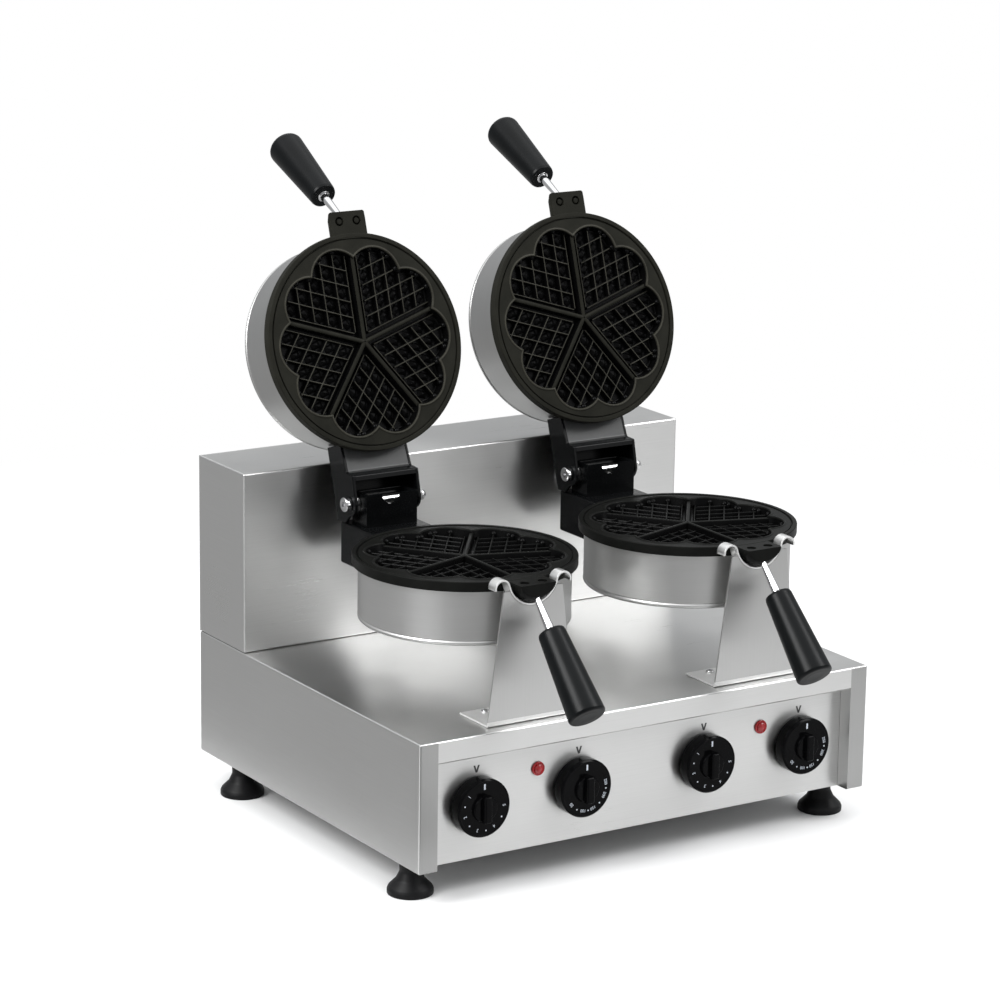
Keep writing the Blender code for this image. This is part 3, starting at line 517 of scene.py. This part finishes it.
def plate_mesh():
    """Cast baking plate, face up, with its nose, ribs and lattice.

    Its body is rings of points from the mould floor over the bead and rim to its back.
    """
    top = PLATE_TOP
    mould = ((FLOOR, 4.8), (FLOOR + 0.4, 3.8), (FLOOR + 1.6, 3.2), (top - 0.6, 1.8), (top + 0.35, 1.35),
             (top + BEAD, 0.85), (top + BEAD + 0.05, 0.4), (top + BEAD, -0.05), (top + 0.35, -0.55),
             (top, -0.9), (top, -1.6))
    rim = filleted([(102.2, top), (102.8, top), (103.1, top - 1.5, 0.3), (104.1, top - 1.5, 0.3),
                    (104.6, RIM_TOP, 0.4), (PLATE_RADIUS, RIM_TOP, 0.9), (PLATE_RADIUS, -10.2, 1.0),
                    (98.0, -10.2)], steps=3)
    turns = [math.radians(NOSE_ANGLE + 2 * i) for i in range(180)]
    rings = [[(0, 0, FLOOR)]]
    for z, shrink in mould:
        rings.append([(scallop_radius(a, shrink) * math.cos(a), scallop_radius(a, shrink) * math.sin(a), z)
                      for a in turns])
    for radius, z in rim + [(97.9, PLATE_BACK)]:
        rings.append([(radius * math.cos(a), radius * math.sin(a), z) for a in turns])
    shapes = [(loft(rings + [[(0, 0, PLATE_BACK)]]), body_painted_light), (nose(), FACE)]
    shapes += [(screw, FACE) for screw in nose_screws()]
    for index in range(HEARTS):
        rib = wedge_directions(index)[0]
        end = rib * (scallop_radius(math.atan2(rib.y, rib.x)) - 0.6)
        shapes.append((bar(rib * 0.5, end, RIB_TOP, 4.0, 6.4, 0.2), rib_painted_shade))
        shapes += lattice(index)
    return joined(shapes, 50)


def casing_mesh():
    """Spun casing with a rolled bead at its end."""
    profile = [(102.2, -10.6), (103.0, -10.6)] + filleted([
        (103.0, -11.0), (103.0, -58.6, 0.6), (102.2, -59.6, 0.6), (103.3, -61.2, 1.0),
        (103.0, -64.2, 2.2), (98.0, -64.2), (0, -64.2)], steps=5)
    return joined([(lathe(profile, 160), 0)], 50)


# ---------------------------------------------------------------- handles
def handle_meshes():
    """Chromed rod with ferrule, and both grips, along -Z from the handle's exit."""
    rod = filleted([(0, 9), (3.2, 9), (3.2, -4), (4.5, -35.0), (6.1, -35.2, 0.3), (6.1, -43), (0, -43)])
    grips = []
    for end in (3.0, 7.0):
        profile = filleted([(0, -35.8), (12.7, -35.6, 1.1), (13.5, -38.4, 2.0), (18.4, -127.1, end),
                            (9.0, -127.4, 4.0), (0, -127.2)], steps=6)
        grips.append(joined([(lathe(profile, 72), 0)], 50))
    return joined([(lathe(rod, 40), 0)], 50), grips


# ---------------------------------------------------------------- hinge
PIN_Y, PIN_Z = 157.0, 17.0              # lid hinge pin from the head's centre


def hinge_bracket_mesh():
    """Black block behind the lower plate, its lug with a round notch over the pin, and the shaft's boss."""
    half, bottom, top = 29, -14, 27.3
    notch = arc((0, 29), 11.5, -8, -172, 20)
    outline = [(-half, bottom), (half, bottom), (half, top), (11.4, top)] + notch
    outline += [(-11.4, top), (-half, top)]
    front = moved(prism(outline, -141.2, -137.6, 0.8, 3), TO_XZ)
    slot = [(-half, bottom), (half, bottom), (half, top), (24, top), (24, 12), (-24, 12), (-24, top),
            (-half, top)]
    middle = moved(prism(slot, -162.2, -141.0, 0.2), TO_XZ)
    rear = block((-half, 162.0, bottom), (half, 166.5, top), 0.9)
    body = block((-36, 92, -47.5), (36, 177.5, -4.5), 2.4, 4)
    boss = moved(lathe(filleted([(0, 177.8), (18, 177.8, 1.5), (18, 160), (0, 160)]), 48), turn(-90, "X"))
    return joined([(part, 0) for part in (body, front, middle, rear, boss)], 40)


def web_painted_sheen(face):
    """The channel's upper web has a coarser coat than the rest, and a lighter colour that is painted sheen.
    """
    return 1 if face.calc_center_median().y < PIN_Y - 30.0 else 0


def hinge_arm_mesh():
    """Folded channel between lid and pin, lid shut: two cheeks, stepped front web, back web."""
    rest = -21.2
    stop = [Vector((21.5, rest)), Vector((8.0, rest))]
    for point in stop:
        point.rotate(Matrix.Rotation(LID_OPEN, 2))
    front = [(-21.2, -14.4), (-26.2, -14.8), (-30.7, -2.6), (-59.5, 1.0)]
    back = [(-59.5, 4.0), (-28.4, 0.1), (-23.9, -11.6), (-21.4, -11.4)]
    outline = [(*stop[0], 1.5), (*stop[1], 2.0)] + arc((0, 0), 12.5, 15, -85, 18)
    outline += [(*front[1], 1.2), (*front[2], 3.0), front[3], (-59.5, 27)]
    shapes = []
    for low, high in ((-38.0, -34.5), (34.5, 38.0)):
        cheek = prism(filleted(outline, closed=True), low, high, 0.8, 3)
        shapes.append((moved(cheek, TO_YZ, at(0, PIN_Y, PIN_Z)), 0))
    bent = [front[0], (*front[1], 2.0), (*front[2], 4.0), front[3],
            back[0], (*back[1], 1.5), (*back[2], 1.0), back[3]]
    channel = prism(filleted(bent, closed=True), -34.8, 34.8, 0.3)
    shapes.append((moved(channel, TO_YZ, at(0, PIN_Y, PIN_Z)), web_painted_sheen))
    shapes.append((block((-35.2, 99, 40.5), (35.2, 148, 43.5), 0.7), 0))
    return joined(shapes, 40)


def bolt_mesh():
    """Hinge bolt with a round socket head outside the left cheek, its shank and two washers."""
    head = lathe(filleted([(0, 6.2), (7.4, 6.2, 1.4), (7.4, 0.0, 0.5), (0, 0.0)]), 48)
    socket = prism(arc((0, 0), 3.4, 0, 300, 5), 2.6, 9.0)
    head = moved(carved(head, socket), turn(-90, "Y"), at(-38.4, 0, 0))
    shank = moved(lathe([(0, 43), (4.9, 43), (4.9, -39), (0, -39)], 40), turn(90, "Y"))
    washer = filleted([(5.2, 5.0), (8.5, 5.0, 0.5), (8.5, 0.3, 0.5), (5.2, 0.3)])
    washers = [moved(lathe(washer, 40, closed=True), turn(90, "Y"), at(x, 0, 0)) for x in (-34.3, 29.0)]
    return joined([(head, 0), (shank, 1), (washers[0], 1), (washers[1], 1)], 40)


def nut_mesh():
    """Domed cap nut outside the right cheek."""
    dome = arc((0, 6.0), 5.9, 90, 0, 10)
    cap = lathe([(max(r, 0), z) for r, z in dome] + [(5.9, 4.2), (0, 4.2)], 40)
    hexagon = prism(arc((0, 0), 7.2, 0, 300, 5), 0.3, 5.6, 0.6)
    return joined([(moved(shape, turn(90, "Y"), at(38.1, 0, 0)), 0) for shape in (cap, hexagon)], 40)


# ---------------------------------------------------------------- placing the heads
def build_heads():
    """Both irons: the lower halves on their flip axes, the lids opened to their stops."""
    plates = {"lower": plate_mesh(), "upper": plate_mesh()}
    casings = {"lower": casing_mesh(), "upper": casing_mesh()}
    # The lower plates get the darker copies of the coating: painted shade.
    coating = {"lower": (LOWER_SHADE, LOWER_SHADE_CREST, NONSTICK_MOULD_SHADE), "upper": (NONSTICK, NONSTICK_CREST_HIGHLIGHT, NONSTICK_MOULD_SHADE)}
    spun = {"lower": GRAIN_ROUND, "upper": UPPER_ROUND_SHADE}
    rod, grips = handle_meshes()
    bracket, arm, bolt, nut = hinge_bracket_mesh(), hinge_arm_mesh(), bolt_mesh(), nut_mesh()
    direction = Vector((0, -math.cos(HANDLE_DROOP), -math.sin(HANDLE_DROOP)))
    aim = Vector((0, 0, -1)).rotation_difference(direction).to_matrix().to_4x4()
    handle = Matrix.Translation(HANDLE_EXIT * 0.001) @ aim
    for side in SIDES:
        head = Matrix.Translation(JOINTS[f"iron_flip_{side}"]["pos_m"])
        pin = Matrix.Translation(JOINTS[f"lid_hinge_{side}"]["pos_m"])
        lid = pin @ Matrix.Rotation(-LID_OPEN, 4, "X") @ pin.inverted() @ head
        halves = (("lower", f"iron_{side}", head, grips[0]),
                  ("upper", f"lid_{side}", lid @ turn(180, "Y"), grips[1]))
        for half, body, place, grip in halves:
            piece(f"{half}_baking_plate_{side}", plates[half], coating[half], body, place,
                  (f"{half}_plate_{side}",))
            piece(f"{half}_shell_{side}", casings[half], (spun[half],), body, place,
                  (f"{half}_casing_{side}",))
            piece(f"{half}_rod_{side}", rod, (CHROME,), body, place @ handle,
                  (f"{half}_handle_rod_{side}",))
            piece(f"{half}_handle_{side}", grip, (BAKELITE,), body, place @ handle,
                  (f"{half}_grip_{side}",))
        iron = f"iron_{side}"
        piece(f"hinge_block_{side}", bracket, (HINGE_BLACK,), iron, head,
              (f"hinge_bracket_{side}",))
        piece(f"hinge_bolt_{side}", bolt, (CHROME, PIN_STEEL), iron, pin, (f"hinge_pin_{side}",))
        piece(f"hinge_cap_{side}", nut, (CHROME,), iron, pin, (f"hinge_nut_{side}",))
        piece(f"lid_arm_{side}", arm, (HINGE_BLACK, WEB_SHEEN), f"lid_{side}", lid,
              (f"hinge_arm_{side}",))


# ---------------------------------------------------------------- cabinet and housing
def grained(mesh):
    """Slots by direction: sides have grain front to back; the posts beside the panel have it upright, in a
    darker steel that is painted shade.
    """
    for polygon in mesh.polygons:
        if abs(polygon.normal.x) > 0.75:
            polygon.material_index = 1
        elif polygon.normal.y < -0.75 and abs(polygon.center.x) > PANEL_HALF * 0.001:
            polygon.material_index = 2
    return mesh


def cabinet_mesh():
    """Folded cabinet, open below, with the panel's opening in front and the gland's hole behind."""
    shell = block((-HALF_WIDTH, 0, 0), (HALF_WIDTH, CABINET_DEPTH, CABINET_HEIGHT), 1.9, 4)
    inner, roof, below = HALF_WIDTH - SHEET, CABINET_HEIGHT - SHEET, -9
    lip = [(-1, 104), (1.1, 104), (1.1, 105.1), (0, 106.3), (-1, 107)]
    gland_hole = lathe([(0, 20), (8.5, 20), (8.5, -20), (0, -20)], 32)
    cutters = [
        moved(prism(lip, -PANEL_HALF, PANEL_HALF), TO_YZ),
        block((-inner, 16, below), (inner, CABINET_DEPTH - SHEET, roof), 0),
        block((-PANEL_HALF, -9, below), (PANEL_HALF, 17, PANEL_TOP), 0),
        block((-inner, SHEET, PANEL_TOP + SHEET), (inner, 17, roof), 0),
        block((-inner, SHEET, below), (-PANEL_HALF - SHEET, 17, roof), 0),
        block((PANEL_HALF + SHEET, SHEET, below), (inner, 17, roof), 0),
        moved(gland_hole, turn(90, "X"), at(200, CABINET_DEPTH, 35))]
    folded = carved(shell, *cutters)
    for x in (-PANEL_HALF, PANEL_HALF):
        bmesh.ops.bisect_plane(folded, geom=folded.verts[:] + folded.edges[:] + folded.faces[:],
                               plane_co=(x, 0, 0), plane_no=(1, 0, 0))
    return grained(joined([(folded, 0)], 30))


def housing_mesh():
    """Rear housing: folded box, open below and behind, with the holes for the flip shafts."""
    low, high = (-HALF_WIDTH, HOUSING_FRONT, HOUSING_LOW), (HALF_WIDTH, CABINET_DEPTH, HOUSING_TOP)
    shell = block(low, high, 1.9, 4)
    inner = HALF_WIDTH - SHEET
    cutters = [block((-inner, HOUSING_FRONT + SHEET, 120), (inner, 440, HOUSING_TOP - SHEET), 0)]
    for x in (-130.5, 130.5):
        cutters.append(moved(lathe([(0, 9), (16, 9), (16, -9), (0, -9)], 48), turn(90, "X"),
                             at(x, 340, 263.6)))
    return grained(joined([(carved(shell, *cutters), 0)], 30))


def build_cabinet():
    place = Matrix.Translation((0, CABINET_LOW.y, CABINET_LOW.z))
    piece("cabinet_shell", cabinet_mesh(), (GRAIN_X, GRAIN_Y, POST_STEEL_SHADE), "base", place,
          ("base_cabinet",))
    # The housing has no posts: its rounded front corners fall in their slot, and have the sides' steel.
    piece("housing_shell", housing_mesh(), (GRAIN_X, GRAIN_Y, GRAIN_Y), "base", place,
          ("rear_housing",))


def foot_mesh():
    """Bell-shaped rubber foot with its stud, standing on Z = 0."""
    profile = [(0, 46.7), (3, 46.7), (3, 33.7)] + filleted([
        (3.1, 33.7), (10.8, 33.7, 0.8), (10.4, 22.0, 6.0), (14.0, 14.5, 5.0), (21.2, 7.2, 3.0),
        (22.3, 4.6, 1.2), (22.3, 0.0, 1.0), (20.0, 0.0), (0, 0)], steps=6)
    return joined([(lathe(profile, 64), 0)], 50)


def build_feet():
    mesh = foot_mesh()
    for end in ("front", "rear"):
        for side in SIDES:
            low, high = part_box(f"foot_{end}_{side}")
            middle = (low + high) / 2
            piece(f"rubber_{end}_{side}", mesh, (RUBBER,), "base",
                  Matrix.Translation((middle.x, middle.y, 0)), (f"foot_{end}_{side}",))


# ---------------------------------------------------------------- brackets and cradles
NOTCH_RISE, NOTCH_RADIUS = 5.2, 26.3    # round notch that the plate's nose lies in
EAR_DROP, EAR_RADIUS = -3.0, 8.5        # curled ends of the strip
STRIP = 1.8                             # thickness of the strip
AXIS_RISE = 136.6                       # flip axis above the deck


def strip_path(offset):
    """One face of the cradle strip as (x, z) from the flip axis, ear to ear."""
    span, drop = NOTCH_RADIUS + EAR_RADIUS, NOTCH_RISE - EAR_DROP
    ear = (math.sqrt(span ** 2 - drop ** 2), EAR_DROP)
    join = math.degrees(math.atan2(-drop, ear[0]))
    notch = arc((0, NOTCH_RISE), NOTCH_RADIUS + offset, -90, join, 24)
    curl = arc(ear, EAR_RADIUS - offset, join + 180, -12, 28)
    right = notch + curl[1:]
    return [(-x, z) for x, z in reversed(right[1:])] + right


def cradle_mesh():
    """Chromed strip that lines the bracket's notch, with a curled ear at each end."""
    outline = strip_path(0) + strip_path(STRIP)[::-1]
    return joined([(moved(prism(outline, -12.5, 0, 0.4), TO_XZ), 0)], 40)


def pan_screw():
    """Head of a cross-slotted screw, standing on Z = 0."""
    head = lathe(filleted([(0, 2.2), (4.2, 2.2, 1.4), (4.2, 0.0), (0, 0)]), 32)
    slots = [block((-2.6, -0.45, 1.0), (2.6, 0.45, 4), 0), block((-0.45, -2.6, 1.0), (0.45, 2.6, 4), 0)]
    return carved(head, *slots)


def build_cover_screws():
    """Screws along the upper and lower edges of the rear cover, set just off its face."""
    inset, off = 0.012, 0.0001
    low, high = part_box("rear_cover")
    mesh = joined([(pan_screw(), 0)], 40)
    columns = {"left": low.x + inset, "middle": (low.x + high.x) / 2, "right": high.x - inset}
    rows = {"low": low.z + inset, "high": high.z - inset}
    for column, x in columns.items():
        for row, z in rows.items():
            place = Matrix.Translation((x, high.y + off, z)) @ turn(-90, "X")
            piece(f"cover_screw_{column}_{row}", mesh, (CHROME,), "base", place)


def bracket_mesh():
    """Bracket from its front face, x across, y back, z up from the flip axis."""
    deck, shoulder, half, top = 0.4 - AXIS_RISE, -6.5, 49.0, 32.5
    radius = NOTCH_RADIUS + STRIP + 0.2
    reach = math.degrees(math.asin((NOTCH_RISE - shoulder) / radius))
    notch = arc((0, NOTCH_RISE), radius, 360 - reach, 180 + reach, 40)
    lean = (half - top) * 5 / AXIS_RISE
    outline = [(lean - half, deck + 5), (half - lean, deck + 5), (top, shoulder)] + notch
    outline += [(-top, shoulder)]
    upright = moved(prism(outline, -2, 0, 0.3), TO_XZ)
    bend = filleted([(0, deck + 5.4), (0, deck, 2.6), (50, deck), (50, deck + 2), (2, deck + 2, 0.8),
                     (2, deck + 5.4)], closed=True)
    foot = moved(prism(bend, 0.6 - half, half - 0.6, 0.3), TO_YZ)
    screws = [(moved(pan_screw(), at(x, 40, deck + 2)), 1) for x in (-26, 26)]
    # The foot takes slot 2, a lighter steel: painted light.
    return joined([(upright, 0), (foot, 2)] + screws, 30)


def build_brackets():
    bracket, cradle = bracket_mesh(), cradle_mesh()
    for side in SIDES:
        axis = JOINTS[f"iron_flip_{side}"]["pos_m"]
        place = Matrix.Translation((axis[0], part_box(f"front_bracket_{side}")[0].y, axis[2]))
        piece(f"bracket_sheet_{side}", bracket, (GRAIN_UP, CHROME, FOOT_STEEL_LIT), "base", place,
              (f"front_bracket_{side}",))
        piece(f"cradle_strip_{side}", cradle, (BRIGHT_STEEL,), "base", place,
              (f"cradle_{side}",))


# ---------------------------------------------------------------- controls
def text_mesh(body, size):
    """A numeral as a thin flat mesh centred on the origin, in millimetres."""
    curve = bpy.data.curves.new("numeral", "FONT")
    curve.body = body
    curve.size = size
    curve.extrude = 0.05
    curve.align_x, curve.align_y = "CENTER", "CENTER"
    obj = bpy.data.objects.new("numeral", curve)
    bpy.context.scene.collection.objects.link(obj)
    bpy.context.view_layer.update()
    shape = bmesh.new()
    shape.from_mesh(bpy.data.meshes.new_from_object(obj))
    bpy.data.objects.remove(obj)
    bpy.data.curves.remove(curve)
    return shape


def knob_mesh(marks, dots):
    """Round knob, axis Z with its face up: skirt, hub, grip bar, spindle, index line, printed scale."""
    depth, radius, print_height = 14.2, 28.8, -0.22
    skirt = filleted([(0, -0.3), (26.2, -0.3, 0.4), (27.0, 0.0, 0.3), (radius, -1.6, 0.9),
                      (radius, -depth + 3, 0.4), (28.2, -depth + 2.6, 0.3), (28.2, -depth, 0.8),
                      (0, -depth)])
    hub = filleted([(0, 3.0), (12.6, 3.0, 1.4), (13.5, -0.6, 0.6), (13.5, -1.0), (0, -1.0)])
    grip = block((-4.4, -13.2, -0.5), (4.4, 13.2, 8.0), 2.0, 4)
    spindle = lathe([(0, -depth), (3, -depth), (3, -depth - 6), (0, -depth - 6)], 24)
    shapes = [(lathe(skirt, 96), 0), (lathe(hub, 64), 0), (grip, 0), (spindle, 0)]
    shapes.append((block((-0.9, 18.5, -0.35), (0.9, 24.0, -0.2), 0), 1))
    for label, angle, size in marks:
        spot = turn(angle, "Z") @ at(0, 21.6, print_height)
        shapes.append((moved(text_mesh(label, size), spot), 1))
    for angle in dots:
        dot = lathe([(0, 0.05), (0.75, 0.05), (0.75, -0.1), (0, -0.1)], 16)
        shapes.append((moved(dot, turn(angle, "Z") @ at(0, 22.0, print_height)), 1))
    return joined(shapes, 40)


def build_controls():
    """Dials, the index marks above them, and the pilot lamps."""
    timer = knob_mesh([("1", 50, 4.6), ("2", 104, 4.6), ("3", 160, 4.6), ("4", -150, 4.6), ("5", -90, 4.6)],
                      (77, 132, -175, -120))
    front = CABINET_LOW.y + 0.001
    thermostat = knob_mesh([("50", 128, 4.4), ("100", 170, 4.2), ("150", -160, 4.2), ("200", -115, 4.2),
                            ("250", -80, 4.2)], (150, -175, -138, -97))
    for side in SIDES:
        for kind, mesh in (("timer", timer), ("thermostat", thermostat)):
            axis = JOINTS[f"{kind}_turn_{side}"]["pos_m"]
            place = Matrix.Translation((axis[0], front, axis[2])) @ turn(90, "X")
            piece(f"{kind}_dial_{side}", mesh, (KNOB_BLACK, PRINT_WHITE), f"{kind}_dial_{side}",
                  place, (f"{kind}_knob_{side}",))
            build_index_mark(f"{kind}_mark_{side}", axis[0])
        build_lamp(side)


def build_index_mark(name, x):
    """V-shaped index above a knob, printed on the panel."""
    outline = [(-3.5, 3.6), (-1.5, 3.6), (0, -0.9), (1.5, 3.6), (3.5, 3.6), (1.0, -3.6), (-1.0, -3.6)]
    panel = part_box("control_panel")[0].y
    place = Matrix.Translation((x, panel, CABINET_LOW.z + 0.088))
    mesh = joined([(moved(prism(outline, -0.03, 0.05), TO_XZ), 0)])
    piece(name, mesh, (PRINT_DARK,), "base", place)


def build_lamp(side):
    """Pilot lamp: stepped red bezel and a domed lens."""
    low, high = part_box(f"indicator_lamp_{side}")
    middle = (low + high) / 2
    bezel = filleted([(0, 1.6), (5.4, 1.6, 0.3), (5.9, 2.0, 0.3), (6.8, 1.6, 0.5), (7.2, 0.1, 0.3),
                      (5.2, 0.0), (5.2, -22), (0, -22)])
    dome = [(5.3 * math.sin(a), 1.4 + 3.4 * math.cos(a)) for a in [math.radians(9 * i) for i in range(11)]]
    mesh = joined([(lathe(bezel, 48), 0), (lathe(dome + [(0, 1.4)], 48), 0)], 30)
    place = Matrix.Translation((middle.x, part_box("control_panel")[0].y - 0.0002, middle.z)) @ turn(90, "X")
    piece(f"pilot_lamp_{side}", mesh, (LENS_RED,), "base", place, (f"indicator_lamp_{side}",))


# ---------------------------------------------------------------- carried-over nodes
def dress_nodes():
    """Materials of the CAD nodes that stay in view."""
    looks = {"control_panel": GRAIN_X, "rear_cover": GRAIN_X, "cable_gland": RUBBER,
             "terminal_block": CERAMIC}
    for name, node in frame["nodes"].items():
        if not node.hide_render:
            node.data.materials.clear()
            node.data.materials.append(looks.get(name, PLAIN_STEEL))


# ---------------------------------------------------------------- studio
def build_floor():
    """Round white floor that runs out into the white backdrop."""
    bm = bmesh.new()
    bmesh.ops.create_circle(bm, cap_ends=True, segments=96, radius=3.4)
    mesh = bpy.data.meshes.new("floor")
    bm.to_mesh(mesh)
    bm.free()
    obj = bpy.data.objects.new("floor", mesh)
    made, tree, principled = shader("floor_paint", (0.9, 0.9, 0.9), 0.7)
    coords = tree.nodes.new("ShaderNodeTexCoord")
    length = tree.nodes.new("ShaderNodeVectorMath")
    length.operation = "LENGTH"
    tree.links.new(coords.outputs["Object"], length.inputs[0])
    glow = tree.nodes.new("ShaderNodeEmission")
    path = tree.nodes.new("ShaderNodeLightPath")
    seen = path.outputs["Is Camera Ray"]
    tree.links.new(ranged(tree, seen, 0.62, 0.9, 0.0, 1.0), principled.inputs["Base Color"])
    tree.links.new(ranged(tree, seen, 0.54, 1.0, 0.0, 1.0), glow.inputs["Strength"])
    mix = tree.nodes.new("ShaderNodeMixShader")
    tree.links.new(ranged(tree, length.outputs["Value"], 0.0, 1.0, 0.55, 1.6), mix.inputs["Fac"])
    tree.links.new(principled.outputs[0], mix.inputs[1])
    tree.links.new(glow.outputs[0], mix.inputs[2])
    tree.links.new(mix.outputs[0], tree.nodes["Material Output"].inputs["Surface"])
    mesh.materials.append(made)
    bpy.context.scene.collection.objects.link(obj)


FLAG_HEIGHT = 0.0006


def build_flag(name, corners, grey):
    """Card lying on the floor, out of the camera's sight, that steel reflects as a darker room."""
    mesh = bpy.data.meshes.new(name)
    mesh.from_pydata([(x, y, FLAG_HEIGHT) for x, y in corners], [], [range(len(corners))])
    made = bpy.data.materials.new(name)
    made.use_nodes = True
    tree = made.node_tree
    glow = tree.nodes.new("ShaderNodeEmission")
    glow.inputs["Color"].default_value = (grey, grey, grey, 1)
    tree.links.new(glow.outputs[0], tree.nodes["Material Output"].inputs["Surface"])
    mesh.materials.append(made)
    obj = bpy.data.objects.new(name, mesh)
    obj.visible_camera = False
    obj.visible_diffuse = False
    obj.visible_shadow = False
    bpy.context.scene.collection.objects.link(obj)


def softbox(name, place, size, power):
    """Rectangular area light that faces a point inside the part."""
    target = Vector((0, 0, 0.25))
    light = bpy.data.lights.new(name, "AREA")
    light.shape = "RECTANGLE"
    light.size, light.size_y = size
    light.energy = power
    obj = bpy.data.objects.new(name, light)
    obj.location = place
    obj.rotation_euler = (target - Vector(place)).to_track_quat("-Z", "Y").to_euler()
    bpy.context.scene.collection.objects.link(obj)


def build_world():
    """Room that is brighter above; the camera sees it as plain white."""
    world = bpy.data.worlds.new("studio")
    bpy.context.scene.world = world
    world.use_nodes = True
    tree = world.node_tree
    background = tree.nodes["Background"]
    coords = tree.nodes.new("ShaderNodeTexCoord")
    split = tree.nodes.new("ShaderNodeSeparateXYZ")
    tree.links.new(coords.outputs["Generated"], split.inputs[0])
    tree.links.new(ranged(tree, split.outputs["Z"], 0.42, 0.85, 0.2, 0.8), background.inputs["Strength"])
    background.inputs["Color"].default_value = (0.97, 0.985, 1.0, 1)
    seen = tree.nodes.new("ShaderNodeBackground")
    seen.inputs["Color"].default_value = (1, 1, 1, 1)
    path = tree.nodes.new("ShaderNodeLightPath")
    mix = tree.nodes.new("ShaderNodeMixShader")
    tree.links.new(path.outputs["Is Camera Ray"], mix.inputs["Fac"])
    tree.links.new(background.outputs[0], mix.inputs[1])
    tree.links.new(seen.outputs[0], mix.inputs[2])
    tree.links.new(mix.outputs[0], tree.nodes["World Output"].inputs["Surface"])


def build_camera():
    """Camera at the front left, a little above, with a long lens."""
    azimuth, elevation, roll = math.radians(-32.53), math.radians(14.14), math.radians(0.87)
    distance = 3.5639
    target = Vector((-0.0442, CABINET_LOW.y + 0.208, CABINET_LOW.z + 0.2878))
    back = Vector((math.sin(azimuth) * math.cos(elevation), -math.cos(azimuth) * math.cos(elevation),
                   math.sin(elevation)))
    data = bpy.data.cameras.new("camera")
    data.sensor_width = 36
    data.lens = 129.96
    data.clip_end = 60
    camera = bpy.data.objects.new("camera", data)
    upright = back.to_track_quat("Z", "Y").to_matrix().to_4x4()
    place = Matrix.Translation(target + back * distance)
    camera.matrix_world = place @ upright @ Matrix.Rotation(roll, 4, "Z")
    bpy.context.scene.collection.objects.link(camera)
    bpy.context.scene.camera = camera


build_heads()
build_cabinet()
build_feet()
build_brackets()
build_cover_screws()
build_controls()
dress_nodes()
build_floor()
build_flag("flag_left", [(-3.0, -0.1), (-0.32, -0.1), (-0.32, 0.35), (0.1, 3.0), (-3.0, 3.0)], 0.44)
build_flag("flag_front", [(-3.0, -3.2), (0.3, -3.2), (-0.12, -0.35), (-0.45, -0.35), (-3.0, -1.6)], 0.42)
softbox("key", (1.9, -1.7, 2.7), (1.6, 1.6), 62)
softbox("bank", (2.2, -3.5, 0.8), (1.0, 1.5), 6)
softbox("overhead", (-0.2, 0.3, 2.8), (4.6, 4.2), 46)
softbox("fill", (-2.2, -0.15, 2.0), (1.2, 1.4), 60)
build_world()
build_camera()
bpy.context.scene.view_settings.view_transform = "Standard"
